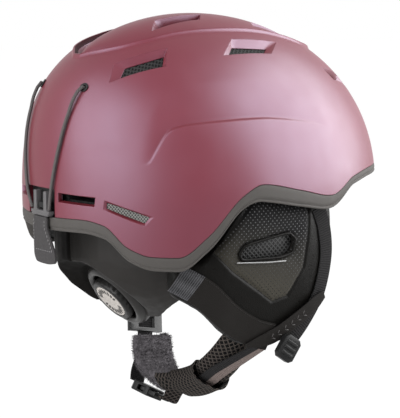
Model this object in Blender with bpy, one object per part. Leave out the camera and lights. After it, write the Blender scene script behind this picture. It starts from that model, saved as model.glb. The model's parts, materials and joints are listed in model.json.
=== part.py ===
"""Ski helmet: vented hard shell, rim trim, foam liner, ear pads, dial fit system, goggle strap hook and chin strap.

Units are metres, +Z up, -Y to the front, +X to the wearer's left. The origin is the middle of the head,
level with the widest line of the shell.
"""

import math

import bmesh
import bpy
from mathutils import Matrix, Vector

MM = 0.001

# Clearances
CLEARANCE = 0.3 * MM
BOND_GAP = 0.7 * MM
COMFORT_GAP = 1.8 * MM

# Outer form of the shell
HALF_WIDTH = 110 * MM
FRONT_REACH = 149 * MM
REAR_REACH = 124 * MM
CROWN_HEIGHT = 128 * MM
SIDE_CURVE = 1.8
FRONT_CURVE = 2.2
REAR_CURVE = 3.15
PLAN_CURVE = 2.08
SIDE_TUCK = 0.03
REAR_TUCK = 0.05
TUCK_DEPTH = 60 * MM

# Walls
SHELL_WALL = 3 * MM
FOAM_THICKNESS = 20 * MM
TRIM_LIP_DEPTH = 11 * MM
TRIM_LIP_WALL = 3 * MM
COLUMNS = 60
PAD_COLUMNS = 30

# Shell edge: degrees round from the rear centre, and height
RIM_EDGE = ((0, -12), (22, -11), (31, -14), (40, -29), (48, -34.5), (57, -35), (67, -21), (79, 6), (86, 13),
            (98, 7), (110, 1), (122, 12), (135, 15.5), (180, 17))
TRIM_HEIGHT = ((0, 9.5), (30, 9.5), (57, 10), (70, 10.5), (79, 9), (88, 12.5), (105, 10.5), (113, 8.5),
               (122, 6), (180, 6.5))

# Recessed channel over the crown: percent of the reach behind the middle, and percent of the half width
CHANNEL_DEPTH = 3.5 * MM
CHANNEL_CROWN = 0.15
CHANNEL_OUTLINE = ((74.2, 3.6), (66.1, 19.1), (56.5, 28.2), (40.3, 34.5), (0, 39.1), (-26.8, 37.3), (-47, 32.7),
                   (-59.1, 21.8), (-65.8, 5.5))

# Side crease: degrees round and height along the step, and the step's depth and run-out
CREASE_LINE = ((48, 28), (57, 51.5), (66, 54.8), (88, 57), (104, 53), (113, 48.5))
CREASE_DEPTH = 1.6 * MM
CREASE_RUN_OUT = 26 * MM

# Vents: corners of the mouth and of the slot at its foot, right-hand side; those on top in percent of the half width
# and of the reach, those on the sides in degrees round and height
VENT_WALL = 2 * MM
VENT_DEPTH = 7 * MM
SCREEN_THICKNESS = 1.2 * MM
TOP_VENTS = {
    "rear_top": (((-33.6, 69), (-45.5, 40.3), (-55, 46.4), (-39.5, 75)),
                 ((-41.8, 64.5), (-49.5, 46), (-53.2, 50), (-45, 67.7)), 0, True),
    "front_top": (((-49.1, -0.7), (-46.8, -27.9), (-58.2, -19.1), (-60, 11.3)),
                  ((-54.5, 0.4), (-54.1, -17.8), (-57.7, -15.1), (-59.1, 5.2)), 0, True),
    "crown": (((-20.9, 37.1), (-10, 29), (-10, -2), (-20.9, 4)),
              ((-18.2, 32.3), (-12.7, 27.4), (-12.7, 1.6), (-18.2, 5.6)), 1, True),
    "fore_crown": (((-22.7, -26.8), (-11.8, -29.5), (-10.9, -51), (-20, -45.6)),
                   ((-20, -30.9), (-14.5, -32.2), (-13.6, -47), (-18.2, -43)), 1, False),
}
SIDE_VENTS = {
    "brow": (((134, 88), (136, 79), (157, 70), (155, 80)), ((137, 85), (139, 80), (153, 74), (152, 79)), False),
    "rear_inner": (((11, 6), (28, 5), (27.5, -1.5), (11, -0.5)), ((12.5, 4), (26, 3), (26, 0), (12.5, 1)), False),
    "rear_outer": (((31.5, 3.5), (49, -7), (46, -13.5), (31, -3)), ((33, 1), (46.5, -7.5), (45, -10.5), (33, -2)),
                   True),
}

# Catch plate and its notch in the rear edge of the shell
NOTCH_HALF_WIDTH = 18.5 * MM
NOTCH_TOP = 8 * MM
CATCH_RECESS = 4 * MM
CATCH_WALL = 3.5 * MM
LUG_HALF_WIDTH = 4.5 * MM
LUG_LOW = -6 * MM
LUG_HIGH = -2 * MM

# Goggle strap hook, its pull tab and elastic cords
HOOK_MIDDLE = -3.5 * MM
HOOK_HALF_WIDTH = 13 * MM
HOOK_HEADROOM = 2 * MM
HOOK_FOOT = -11.6 * MM
HOOK_BAR = 4 * MM
PRONG_WIDTH = 3.8 * MM
HOOK_DEPTH = 5.2 * MM
TAB_TOP_HALF_WIDTH = 9.5 * MM
TAB_FOOT_HALF_WIDTH = 13 * MM
TAB_LENGTH = 34 * MM
TAB_THICKNESS = 2.2 * MM
TAB_FOLD = 8.5 * MM
TAB_FOLD_THICKNESS = 3 * MM
TAB_CORNER = 3 * MM
HOOK_CORNER = 2.4 * MM
CORD_RADIUS = 1.2 * MM
CORD_STANDOFF = 1.9 * MM
EYELET_TURN = 19.2
EYELET_HEIGHT = 78 * MM
EYELET_BORE = 2.6 * MM
EYELET_WALL = 1 * MM
EYELET_FLANGE = 4.8 * MM
EYELET_FLANGE_WALL = 0.9 * MM

# Ear pads: lower edge as distance behind the middle and height, and the bulge below the trim
EAR_EDGE = ((64, -64), (47, -75), (32, -90), (9, -103), (-13, -105), (-37.5, -94), (-56, -70), (-65, -44))
EAR_BULGE = ((0, 0), (12, 2), (30, 3), (55, 2), (80, -2), (110, -9))
EAR_THICKNESS = 11 * MM
EAR_STATIONS = 16
EAR_WINDOW = ((21, -36), (17, -30), (-21, -24), (-27, -29), (-24, -38.5), (-13, -41), (19, -40.5))
MESH_THICKNESS = 2 * MM

# Webbing
WEBBING_WIDTH = 13 * MM
WEBBING_THICKNESS = 1.5 * MM
STRAP_ROOM = 3.6 * MM
STRAP_LAY = 1.2 * MM
FRONT_STRAP = ((-50, -9), (-55, -25), (-57, -42), (-52, -67), (-38, -90), (-29, -101))
REAR_STRAP = ((63, -51), (48, -61), (29, -79), (5, -93.5), (-9, -98))
REAR_STRAP_WIDTH = 20 * MM
KEEPER_LINE = ((12.5, -102), (-6, -98), (-31.5, -85), (-54, -71.5))
KEEPER_WIDTH = 11 * MM
ANCHOR_DEPTH = 12 * MM
ANCHOR_WALL = 3 * MM
DIVIDER_CENTRE = (-19, -106)
DIVIDER_SIZE = (15 * MM, 18 * MM)
DIVIDER_THICKNESS = 5 * MM
DIVIDER_TILT = 35
DIVIDER_CORNER = 2.6 * MM
DIVIDER_RIBS = 3
DIVIDER_RIB = 1 * MM

# Rear cradle: height and depth inside the shell's reach and half width, and its lower edge by degrees round
CRADLE_REAR_INSET = ((-92, 78), (-88, 71), (-79, 54), (-68, 38), (-57, 29), (-46, 26), (-20, 25))
CRADLE_SIDE_INSET = ((-92, 56), (-88, 52), (-78, 41), (-66, 32), (-46, 27), (-20, 26))
CRADLE_EDGE = ((0, -90), (30, -88), (45, -79), (58, -68))
CRADLE_SPREAD = 57
CRADLE_WALL = 4 * MM

# Fit dial: depth of its face inside the shell's reach, its height, tilt of its axis below level, and its mechanism
DIAL_INSET = 56.5 * MM
DIAL_HEIGHT = -79 * MM
DIAL_TILT = 38
CAP_RADIUS = 13.8 * MM
CAP_WALL = 1.6 * MM
KNOB_RADIUS = 18.5 * MM
KNOB_HEIGHT = 8 * MM
KNOB_RIBS = 24
KNOB_RIB = 0.9 * MM
HOUSING_BORE = 21 * MM
HOUSING_WALL = 3 * MM
HOUSING_FLOOR = 2.4 * MM
HOUSING_RISE = 6 * MM
PINION_TEETH = 10
RACK_TEETH = 6
MESH_GAP = 0.35 * MM
TOOTH_TIP = 0.24
TOOTH_ROOT = 0.4
TOOTH_PITCH = 3.2 * MM
TOOTH_DEPTH = 1.8 * MM
GEAR_LAYER = 4 * MM
RACK_BACK = 3 * MM
RACK_TAIL = 30 * MM
SCREW_RADIUS = 1.5 * MM
SCREW_HEAD = 3 * MM

# Headband arms and their pins in the liner: the arm's seat on the cradle as degrees round and height, then its line as
# depth inside the half width, distance behind the middle and height
ARM_SEAT = ((22, -46), (34, -50), (46, -54), (55, -54))
ARM_LINE = ((39, 28, -40), (32, 8, -14), (30, -2, 10))
ARM_LIE = (0, 0.3, 1)
ARM_WIDTH = 12 * MM
ARM_THICKNESS = 1.6 * MM
PIN_RADIUS = 3 * MM
PIN_LENGTH = 9 * MM

# Comfort pads inside the liner
PAD_THICKNESS = 8 * MM
CROWN_PAD_LOW = 62 * MM
BROW_PAD_SPREAD = 48
BROW_PAD_HEIGHT = 30 * MM
BROW_PAD_LOW = 20 * MM

# Chin strap: percent of the half width between the ear pads' lower edges, distance behind the middle and height
STRAP_DROP = -12
CHIN_PAD_LINE = ((-76, -4, -101), (-63, -2, -114.5), (-43, -1, -129), (-18, -2, -141), (10, -3.5, -148.5),
                 (36, -4, -152.5), (60, -5, -147), (75, -7, -137), (80, -8.5, -123.5))
CHIN_PAD_LIE = ((0, 0.8, 0.55), (0, 0.75, 0.65), (0, 0.75, 0.65), (0, 0.75, 0.65), (0, 0.8, 0.6), (0, 0.9, 0.45),
                (0, 1, 0.2), (0, 1, 0.1), (0, 1, 0.1))
CHIN_PAD_WIDTH = ((0, 25), (0.5, 27), (0.8, 31), (1, 31))
CHIN_PAD_THICKNESS = 9 * MM
CHIN_PAD_STATIONS = 17
CHIN_GAP = 2.1 * MM
RIGHT_WEBBING_START = (-95, -9, -107.5)
RIGHT_WEBBING_LIE = (0, 1, 0.2)
SLEEVE_STEPS = (4, 5, 6, 7, 8, 9)
TONGUE_RUN = 6 * MM
LEFT_WEBBING_LINE = ((100, -12, -106.8), (96.5, -10.4, -115.5), (93, -8.8, -124.2), (89.5, -7.2, -132.9),
                     (88, -3.5, -143), (85, 1.5, -152), (81.3, 4.7, -158.8))
LEFT_WEBBING_LIE = ((0, 1, 0.1), (0, 1, 0.1), (0, 1, 0.1), (0, 1, 0.1), (0, 1, 0.1), (0, 1, 0.2), (0, 0.9, 0.45))
BUCKLE_START = (78, 6, -161)
BUCKLE_END = (44, -1, -167)
BUCKLE_LIE = (0, 0.9, 0.45)
BUCKLE_WIDTH = 20 * MM
BUCKLE_THICKNESS = 7.5 * MM
BUCKLE_WALL = 2 * MM
BUCKLE_CORNER = 4 * MM
SOCKET_LENGTH = 20 * MM
TONGUE_BAR = 7 * MM
PRONG_LENGTH = 13 * MM
PRONG_WIDTH_AT_ROOT = 3.2 * MM
PRONG_THICKNESS = 3.4 * MM
RELEASE_START = 0.42
RELEASE_END = 0.78
GLIDE_SHARE = 0.2
GLIDE_WIDTH = 29 * MM
GLIDE_LENGTH = 15 * MM
GLIDE_THICKNESS = 5 * MM
GLIDE_BAR = 3 * MM

# Colours of the finishes: red, green, blue, roughness, metallic
FINISHES = {
    "shell_burgundy": (0.26, 0.055, 0.085, 0.42, 0.0),
    "trim_taupe": (0.08, 0.074, 0.069, 0.6, 0.0),
    "foam_black": (0.02, 0.02, 0.02, 0.9, 0.0),
    "mesh_grey": (0.16, 0.16, 0.15, 0.5, 0.2),
    "plastic_black": (0.03, 0.03, 0.03, 0.45, 0.0),
    "cradle_grey": (0.04, 0.038, 0.038, 0.55, 0.0),
    "cap_ivory": (0.72, 0.69, 0.64, 0.4, 0.0),
    "steel": (0.5, 0.5, 0.5, 0.3, 1.0),
    "cord_grey": (0.07, 0.06, 0.06, 0.8, 0.0),
    "leather_grey": (0.09, 0.085, 0.087, 0.7, 0.0),
    "pad_black": (0.02, 0.02, 0.022, 0.7, 0.0),
    "webbing_black": (0.03, 0.03, 0.03, 0.8, 0.0),
    "webbing_brown": (0.12, 0.095, 0.09, 0.8, 0.0),
    "fleece_grey": (0.06, 0.055, 0.06, 0.95, 0.0),
}


def eased(points, at):
    """Value at a place on a smooth curve through (place, value) points, without overshoot between them."""
    pts = sorted(points)
    if at <= pts[0][0]:
        return pts[0][1]
    if at >= pts[-1][0]:
        return pts[-1][1]
    steps = [(b[1] - a[1]) / (b[0] - a[0]) for a, b in zip(pts, pts[1:])]
    slopes = [steps[0]]
    for a, b in zip(steps, steps[1:]):
        slopes.append(2 * a * b / (a + b) if a * b > 0 else 0.0)
    slopes.append(steps[-1])
    k = max(i for i in range(len(pts) - 1) if pts[i][0] <= at)
    span = pts[k + 1][0] - pts[k][0]
    t = (at - pts[k][0]) / span
    return ((1 + 2 * t) * (1 - t) ** 2 * pts[k][1] + t * (1 - t) ** 2 * span * slopes[k]
            + t * t * (3 - 2 * t) * pts[k + 1][1] + t * t * (t - 1) * span * slopes[k + 1])


def smooth_path(points, count):
    """Evenly numbered points on a smooth curve through a few points given in millimetres."""
    stops = [(i, p) for i, p in enumerate(points)]
    last = len(points) - 1
    path = []
    for i in range(count):
        at = last * i / (count - 1)
        path.append(Vector([eased([(k, p[axis]) for k, p in stops], at) for axis in range(len(points[0]))]) * MM)
    return path


def signed_power(value, power):
    return math.copysign(abs(value) ** power, value)


def reaches(z, inset):
    """Half width, front reach and rear reach of the dome at height z, set in from its outside."""
    crown = CROWN_HEIGHT - inset
    up = min(max(z / crown, 0.0), 1.0)
    low = min(z, 0.0) / TUCK_DEPTH
    side = (HALF_WIDTH - inset) * (math.sqrt(1 - up ** SIDE_CURVE) - SIDE_TUCK * low * low)
    front = (FRONT_REACH - inset) * math.sqrt(1 - up ** FRONT_CURVE)
    rear = (REAR_REACH - inset) * (math.sqrt(1 - up ** REAR_CURVE) - REAR_TUCK * low * low)
    return side, front, rear


def dome_at(turn, z, inset=0.0):
    """Point on the dome, by degrees round from the rear centre (left positive) and height."""
    side, front, rear = reaches(z, inset)
    c = math.cos(math.radians(turn))
    s = math.sin(math.radians(turn))
    power = 2 / PLAN_CURVE
    return Vector((side * signed_power(s, power), (rear if c > 0 else front) * signed_power(c, power), z))


def dome_side(y, z, inset):
    """Half width of the dome at a place along its length and a height."""
    side, front, rear = reaches(z, inset)
    share = min(abs(y) / (rear if y > 0 else front), 1.0)
    return side * (1 - share ** PLAN_CURVE) ** (1 / PLAN_CURVE)


def dome_rear(x, z, inset=0.0):
    """Point on the back of the dome at sideways place x and height z."""
    side, _, rear = reaches(z, inset)
    return Vector((x, rear * (1 - (abs(x) / side) ** PLAN_CURVE) ** (1 / PLAN_CURVE), z))


def dome_excess(point, inset):
    """Below zero inside the dome, above zero outside it."""
    if point.z >= CROWN_HEIGHT - inset:
        return 1.0
    side, front, rear = reaches(point.z, inset)
    return (abs(point.x) / side) ** PLAN_CURVE + (abs(point.y) / (rear if point.y > 0 else front)) ** PLAN_CURVE - 1


def halved(test, low, high):
    """Place between low and high where a rising test passes zero."""
    for _ in range(48):
        middle = (low + high) / 2
        if test(middle) > 0:
            high = middle
        else:
            low = middle
    return (low + high) / 2


def dome_over(x, y, inset=0.0):
    """Point of the dome above a place in plan."""
    z = halved(lambda height: dome_excess(Vector((x, y, height)), inset), 0.0, CROWN_HEIGHT - inset)
    return Vector((x, y, z))


def to_dome(point, inset=0.0):
    """Point moved along its line from the origin on to the dome."""
    return point * halved(lambda scale: dome_excess(point * scale, inset), 0.2, 3.0)


def dome_normal(point):
    """Outward direction of the dome near a point."""
    step = 0.5 * MM
    slope = Vector((0, 0, 0))
    for axis in range(3):
        nudge = Vector((0, 0, 0))
        nudge[axis] = step
        slope[axis] = dome_excess(point + nudge, 0.0) - dome_excess(point - nudge, 0.0)
    return slope.normalized()


def rim_height(turn):
    return eased(RIM_EDGE, abs(turn)) * MM


def trim_low(turn):
    return rim_height(turn) - eased(TRIM_HEIGHT, abs(turn)) * MM


def foam_low(turn):
    return trim_low(turn) + TRIM_LIP_WALL + BOND_GAP


def turn_at(y, inset):
    """Degrees round from the rear centre of the rim at a place along the helmet's length."""
    return halved(lambda turn: y - dome_at(turn, 0.0, inset).y, 0.0, 180.0)


def liner_floor(y, half, width):
    """Lowest and highest place of the liner's lower edge over a stretch of the helmet, in a strip inside the trim."""
    spots = [(y + half * (a - 1), TRIM_LIP_DEPTH + width * b / 4) for a in range(3) for b in range(5)]
    heights = [foam_low(turn_at(*spot)) for spot in spots]
    return min(heights), max(heights)


def clear_scene():
    for item in list(bpy.data.objects):
        bpy.data.objects.remove(item, do_unlink=True)


def finish(name):
    """Principled material of one finish."""
    found = bpy.data.materials.get(name)
    if found:
        return found
    red, green, blue, roughness, metallic = FINISHES[name]
    made = bpy.data.materials.new(name)
    made.use_nodes = True
    shader = made.node_tree.nodes["Principled BSDF"]
    shader.inputs["Base Color"].default_value = (red, green, blue, 1)
    shader.inputs["Roughness"].default_value = roughness
    shader.inputs["Metallic"].default_value = metallic
    return made


def add_object(name, bm, finish_name=None, origin=None):
    """Object of a mesh with its faces turned out; with no finish it is a cutter."""
    bmesh.ops.recalc_face_normals(bm, faces=bm.faces)
    if origin is not None:
        bmesh.ops.translate(bm, verts=bm.verts, vec=-origin)
    mesh = bpy.data.meshes.new(name)
    bm.to_mesh(mesh)
    bm.free()
    item = bpy.data.objects.new(name, mesh)
    bpy.context.scene.collection.objects.link(item)
    if origin is not None:
        item.location = origin
    if finish_name is None:
        item.hide_render = True
        item.display_type = "WIRE"
    else:
        mesh.materials.append(finish(finish_name))
        mesh.shade_smooth()
        mesh.set_sharp_from_angle(angle=math.radians(35))
    return item


def combine(target, tool, operation):
    """Boolean of a target with a tool that stays as a hidden cutter."""
    step = target.modifiers.new(tool.name, "BOOLEAN")
    step.operation = operation
    step.object = tool
    step.solver = "EXACT"


def loft(bm, rings, closed=False, fanned=False):
    """Skin over rings of points, closed on itself or capped at both ends, flat or fanned from the middle."""
    rows = [[bm.verts.new(point) for point in ring] for ring in rings]
    count = len(rows[0])
    pairs = list(zip(rows, rows[1:]))
    if closed:
        pairs.append((rows[-1], rows[0]))
    for a, b in pairs:
        for i in range(count):
            j = (i + 1) % count
            bm.faces.new((a[i], a[j], b[j], b[i]))
    for row in () if closed else (rows[0][::-1], rows[-1]):
        if fanned:
            middle = bm.verts.new(sum((v.co for v in row), Vector()) / count)
            for i in range(count):
                bm.faces.new((row[i], row[(i + 1) % count], middle))
        else:
            bm.faces.new(row)
    return bm


def lofted(rings, closed=False):
    return loft(bmesh.new(), rings, closed)


def dome_solid(low_edge, outer, inner, rows, columns=COLUMNS):
    """Thick dome between two insets, from a lower edge to the crown."""
    bm = bmesh.new()
    turns = [360 * i / columns - 180 for i in range(columns)]
    skins = []
    for inset in (outer, inner):
        crown = CROWN_HEIGHT - inset
        skin = []
        for k in range(rows):
            share = 1 - (1 - k / rows) ** 2
            ring = []
            for turn in turns:
                low = low_edge(turn)
                ring.append(bm.verts.new(dome_at(turn, low + (crown - low) * share, inset)))
            skin.append(ring)
        pole = bm.verts.new((0, 0, crown))
        for a, b in zip(skin, skin[1:]):
            for i in range(columns):
                j = (i + 1) % columns
                bm.faces.new((a[i], a[j], b[j], b[i]))
        for i in range(columns):
            bm.faces.new((skin[-1][i], skin[-1][(i + 1) % columns], pole))
        skins.append(skin[0])
    for i in range(columns):
        j = (i + 1) % columns
        bm.faces.new((skins[0][i], skins[0][j], skins[1][j], skins[1][i]))
    return bm


def grown(points, normal, distance):
    """Closed outline with each side moved outward by a distance, square to a normal."""
    middle = sum(points, Vector()) / len(points)
    count = len(points)
    outs = []
    for i in range(count):
        side = points[(i + 1) % count] - points[i]
        out = side.cross(normal).normalized()
        outs.append(out if out.dot(points[i] + side / 2 - middle) > 0 else -out)
    return [p + (outs[i - 1] + outs[i]) * distance / (1 + outs[i - 1].dot(outs[i])) for i, p in enumerate(points)]


def top_corner(x, y, in_channel):
    """Corner of a top vent on the dome or on the channel's floor."""
    place = in_plan(x, y)
    return dome_over(*place, channel_sink(*place) * in_channel)


def vent_list():
    """Name, mouth, slot, inward direction and screen flag of each vent on both sides."""
    vents = []
    for hand, sign in (("right", 1), ("left", -1)):
        for name, (mouth, slot, in_channel, screened) in TOP_VENTS.items():
            corners = [[top_corner(sign * x, y, in_channel) for x, y in ring] for ring in (mouth, slot)]
            vents.append((f"{name}_{hand}", corners, screened))
        for name, (mouth, slot, screened) in SIDE_VENTS.items():
            corners = [[dome_at(-sign * turn, z * MM) for turn, z in ring] for ring in (mouth, slot)]
            vents.append((f"{name}_{hand}", corners, screened))
    listed = []
    for name, (mouth, slot), screened in vents:
        normal = dome_normal(to_dome(sum(slot, Vector()) / len(slot)))
        level = min(p.dot(normal) for p in slot)
        slot = [p - normal * (p.dot(normal) - level) for p in slot]
        listed.append((name, mouth, slot, normal, screened))
    return listed


def shifted(points, vector):
    return [p + vector for p in points]


def build_shell_and_liner():
    """Shell with vent collars, channel, crease and notch; liner with matching pockets; mesh screens."""
    vents = vent_list()
    shell = add_object("outer_shell", dome_solid(rim_height, 0.0, SHELL_WALL, 10), "shell_burgundy")
    liner_inset = SHELL_WALL + BOND_GAP
    liner = add_object("foam_liner", dome_solid(foam_low, liner_inset, liner_inset + FOAM_THICKNESS, 5), "foam_black")
    collars, funnels, pockets = bmesh.new(), bmesh.new(), bmesh.new()
    lift = VENT_DEPTH
    seat = VENT_DEPTH + 2 * CLEARANCE + SCREEN_THICKNESS
    through = FOAM_THICKNESS + 3 * VENT_DEPTH
    for name, mouth, slot, normal, screened in vents:
        collar_mouth, collar_slot = grown(mouth, normal, VENT_WALL), grown(slot, normal, VENT_WALL)
        loft(collars, [shifted(collar_mouth, -normal * SHELL_WALL / 3), shifted(collar_slot, -normal * VENT_DEPTH)],
             fanned=True)
        loft(funnels, [shifted(mouth, normal * lift), mouth, shifted(slot, -normal * VENT_DEPTH),
                       shifted(slot, -normal * 2 * VENT_DEPTH)], fanned=True)
        room = VENT_WALL + 3 * BOND_GAP
        wide_mouth, wide_slot = grown(mouth, normal, room), grown(slot, normal, room)
        loft(pockets, [shifted(wide_mouth, normal * lift), wide_mouth, shifted(wide_slot, -normal * VENT_DEPTH),
                       shifted(wide_slot, -normal * seat), shifted(slot, -normal * seat),
                       shifted(slot, -normal * through)], fanned=True)
        if screened:
            top = VENT_DEPTH + CLEARANCE
            rings = [shifted(collar_slot, -normal * top), shifted(collar_slot, -normal * (top + SCREEN_THICKNESS))]
            add_object(f"vent_screen_{name}", lofted(rings), "mesh_grey")
    combine(shell, add_object("vent_collars", collars), "UNION")
    combine(shell, channel_strip("channel_pan", SHELL_WALL, SHELL_WALL, SHELL_WALL / 6), "UNION")
    combine(shell, channel_strip("channel_cut", 0.0, 0.0, -2 * VENT_DEPTH), "DIFFERENCE")
    combine(shell, add_object("vent_funnels", funnels), "DIFFERENCE")
    for sign in (-1, 1):
        combine(shell, crease_wedge(sign), "DIFFERENCE")
    combine(shell, notch_block(), "DIFFERENCE")
    combine(shell, eyelet_holes(), "DIFFERENCE")
    pan_room = SHELL_WALL + 2 * BOND_GAP
    combine(liner, channel_strip("pan_pocket", pan_room, pan_room, -VENT_DEPTH), "DIFFERENCE")
    combine(liner, add_object("vent_pockets", pockets), "DIFFERENCE")
    combine(liner, catch_body("catch_pocket", BOND_GAP), "DIFFERENCE")
    combine(liner, eyelet_sockets(), "DIFFERENCE")
    combine(liner, anchor_blocks(), "DIFFERENCE")
    combine(liner, pin_sockets(), "DIFFERENCE")


def in_plan(x, y):
    """Place in plan from percents of the half width and of the reach to the rear or the front."""
    return HALF_WIDTH * x / 100, (REAR_REACH if y > 0 else FRONT_REACH) * y / 100


def channel_stations():
    """Place along the helmet and half width of each station of the channel."""
    return [in_plan(x, y)[::-1] for y, x in CHANNEL_OUTLINE]


def channel_sink(x, y):
    """Depth of the channel's floor at a place in plan: full at its edges and shallow along its middle."""
    share = min(abs(x) / eased(channel_stations(), y), 1.0)
    return CHANNEL_DEPTH * (CHANNEL_CROWN + (1 - CHANNEL_CROWN) * share * share)


def channel_strip(name, margin, floor, top):
    """Strip along the crown channel from a height under the dome to a depth under its floor, wider by a margin."""
    across = 6
    rings = []
    stations = channel_stations()
    ends = {0: margin, len(stations) - 1: -margin}
    for k, (y, half) in enumerate(stations):
        place = y + ends.get(k, 0.0)
        xs = [(half + margin) * (2 * i / across - 1) for i in range(across + 1)]
        lower = [dome_over(x, place, channel_sink(x, place) + floor) for x in xs]
        upper = [dome_over(x, place, 0.0) for x in reversed(xs)]
        upper = [p - dome_normal(p) * top for p in upper]
        rings.append(lower + upper)
    return add_object(name, lofted(rings))


def crease_wedge(sign):
    """Sliver above the side crease, deepest at the crease and running out to nothing."""
    path = [dome_at(sign * turn, z * MM) for turn, z in CREASE_LINE]
    rings = []
    for i, point in enumerate(path):
        along = path[min(i + 1, len(path) - 1)] - path[max(i - 1, 0)]
        normal = dome_normal(point)
        upward = along.cross(normal).normalized() * -sign
        ends = i in (0, len(path) - 1)
        depth = CREASE_DEPTH / 4 if ends else CREASE_DEPTH
        far = to_dome(point + upward * CREASE_RUN_OUT)
        rings.append([point - normal * depth, point + normal * CREASE_DEPTH * 2,
                      far + dome_normal(far) * CREASE_DEPTH])
    return add_object(f"crease_wedge_{'left' if sign > 0 else 'right'}", lofted(rings))


def block(low, high):
    """Box between two corners."""
    bm = bmesh.new()
    bmesh.ops.create_cube(bm, size=1.0)
    size = Vector(high) - Vector(low)
    bmesh.ops.scale(bm, verts=bm.verts, vec=size)
    bmesh.ops.translate(bm, verts=bm.verts, vec=(Vector(low) + Vector(high)) / 2)
    return bm


def notch_block():
    """Block that opens the shell's rear edge for the catch."""
    depth = 2 * CATCH_RECESS + SHELL_WALL
    return add_object("catch_notch", block((-NOTCH_HALF_WIDTH, REAR_REACH - 2 * depth, rim_height(0) - depth),
                                           (NOTCH_HALF_WIDTH, REAR_REACH + depth, NOTCH_TOP)))


def catch_body(name, margin, finish_name=None):
    """Curved plate in the shell's notch, grown by a margin for its pocket."""
    half = NOTCH_HALF_WIDTH - CLEARANCE + margin
    low = rim_height(0) + CLEARANCE - margin
    high = NOTCH_TOP - CLEARANCE + margin
    across = 8
    rings = []
    for i in range(across + 1):
        x = half * (2 * i / across - 1)
        rings.append([dome_rear(x, z, inset) for z, inset in
                      ((low, CATCH_RECESS - margin * 2), (high, CATCH_RECESS - margin * 2),
                       (high, CATCH_RECESS + CATCH_WALL + margin), (low, CATCH_RECESS + CATCH_WALL + margin))])
    return add_object(name, lofted(rings), finish_name)


def turned(profile, steps=12):
    """Round body turned about Z from a closed profile of (radius, height) points."""
    rings = []
    for k in range(steps):
        angle = 2 * math.pi * k / steps
        rings.append([Vector((r * math.cos(angle), r * math.sin(angle), z)) for r, z in profile])
    return lofted(rings, closed=True)


def rod(radius, low, high, steps=16):
    """Round bar along Z."""
    rings = [[Vector((radius * math.cos(2 * math.pi * k / steps), radius * math.sin(2 * math.pi * k / steps), z))
              for k in range(steps)] for z in (low, high)]
    return lofted(rings)


def placed(bm, origin, outward):
    """Mesh made along Z moved to an origin with Z turned to an outward direction."""
    turn = Vector(outward).to_track_quat("Z", "Y").to_matrix().to_4x4()
    bmesh.ops.transform(bm, matrix=Matrix.Translation(origin) @ turn, verts=bm.verts)
    return bm


def eyelet_seat(sign):
    centre = dome_at(sign * EYELET_TURN, EYELET_HEIGHT)
    return centre, dome_normal(centre)


def merge(into, bm):
    """Adds one mesh to another."""
    mesh = bpy.data.meshes.new("part")
    bm.to_mesh(mesh)
    bm.free()
    into.from_mesh(mesh)
    bpy.data.meshes.remove(mesh)
    return into


def eyelet_rods(name, radius, low, high):
    bm = bmesh.new()
    for sign in (-1, 1):
        merge(bm, placed(rod(radius, low, high), *eyelet_seat(sign)))
    return add_object(name, bm)


def eyelet_holes():
    return eyelet_rods("eyelet_holes", EYELET_BORE + EYELET_WALL + CLEARANCE, -3 * SHELL_WALL, 3 * SHELL_WALL)


def eyelet_sockets():
    foot = 2 * SHELL_WALL + BOND_GAP
    return eyelet_rods("eyelet_sockets", EYELET_BORE + EYELET_WALL + BOND_GAP, -foot, 3 * SHELL_WALL)


def build_trim():
    """Flexible band under the shell's edge with a lip turned in under the liner."""
    rings = []
    for i in range(COLUMNS):
        turn = 360 * i / COLUMNS - 180
        low = trim_low(turn)
        top = rim_height(turn) - CLEARANCE
        shelf = low + TRIM_LIP_WALL
        rings.append([dome_at(turn, top, 0.0), dome_at(turn, low, 0.0), dome_at(turn, low, TRIM_LIP_DEPTH),
                      dome_at(turn, shelf, TRIM_LIP_DEPTH), dome_at(turn, shelf, SHELL_WALL),
                      dome_at(turn, top, SHELL_WALL)])
    add_object("rim_trim", lofted(rings, closed=True), "trim_taupe")


def cut_corners(half_width, half_height, corner):
    """Outline of a rectangle about the origin with its corners cut."""
    side, end = half_width - corner, half_height - corner
    return [(-half_width, -end), (-side, -half_height), (side, -half_height), (half_width, -end), (half_width, end),
            (side, half_height), (-side, half_height), (-half_width, end)]


def prism(outline, low, high, axis):
    """Flat outline drawn in the other two axes, extruded along X or Y between two places."""
    if axis == "X":
        rings = [[Vector((at, a, b)) for a, b in outline] for at in (low, high)]
    else:
        rings = [[Vector((a, at, b)) for a, b in outline] for at in (low, high)]
    return lofted(rings)


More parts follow.
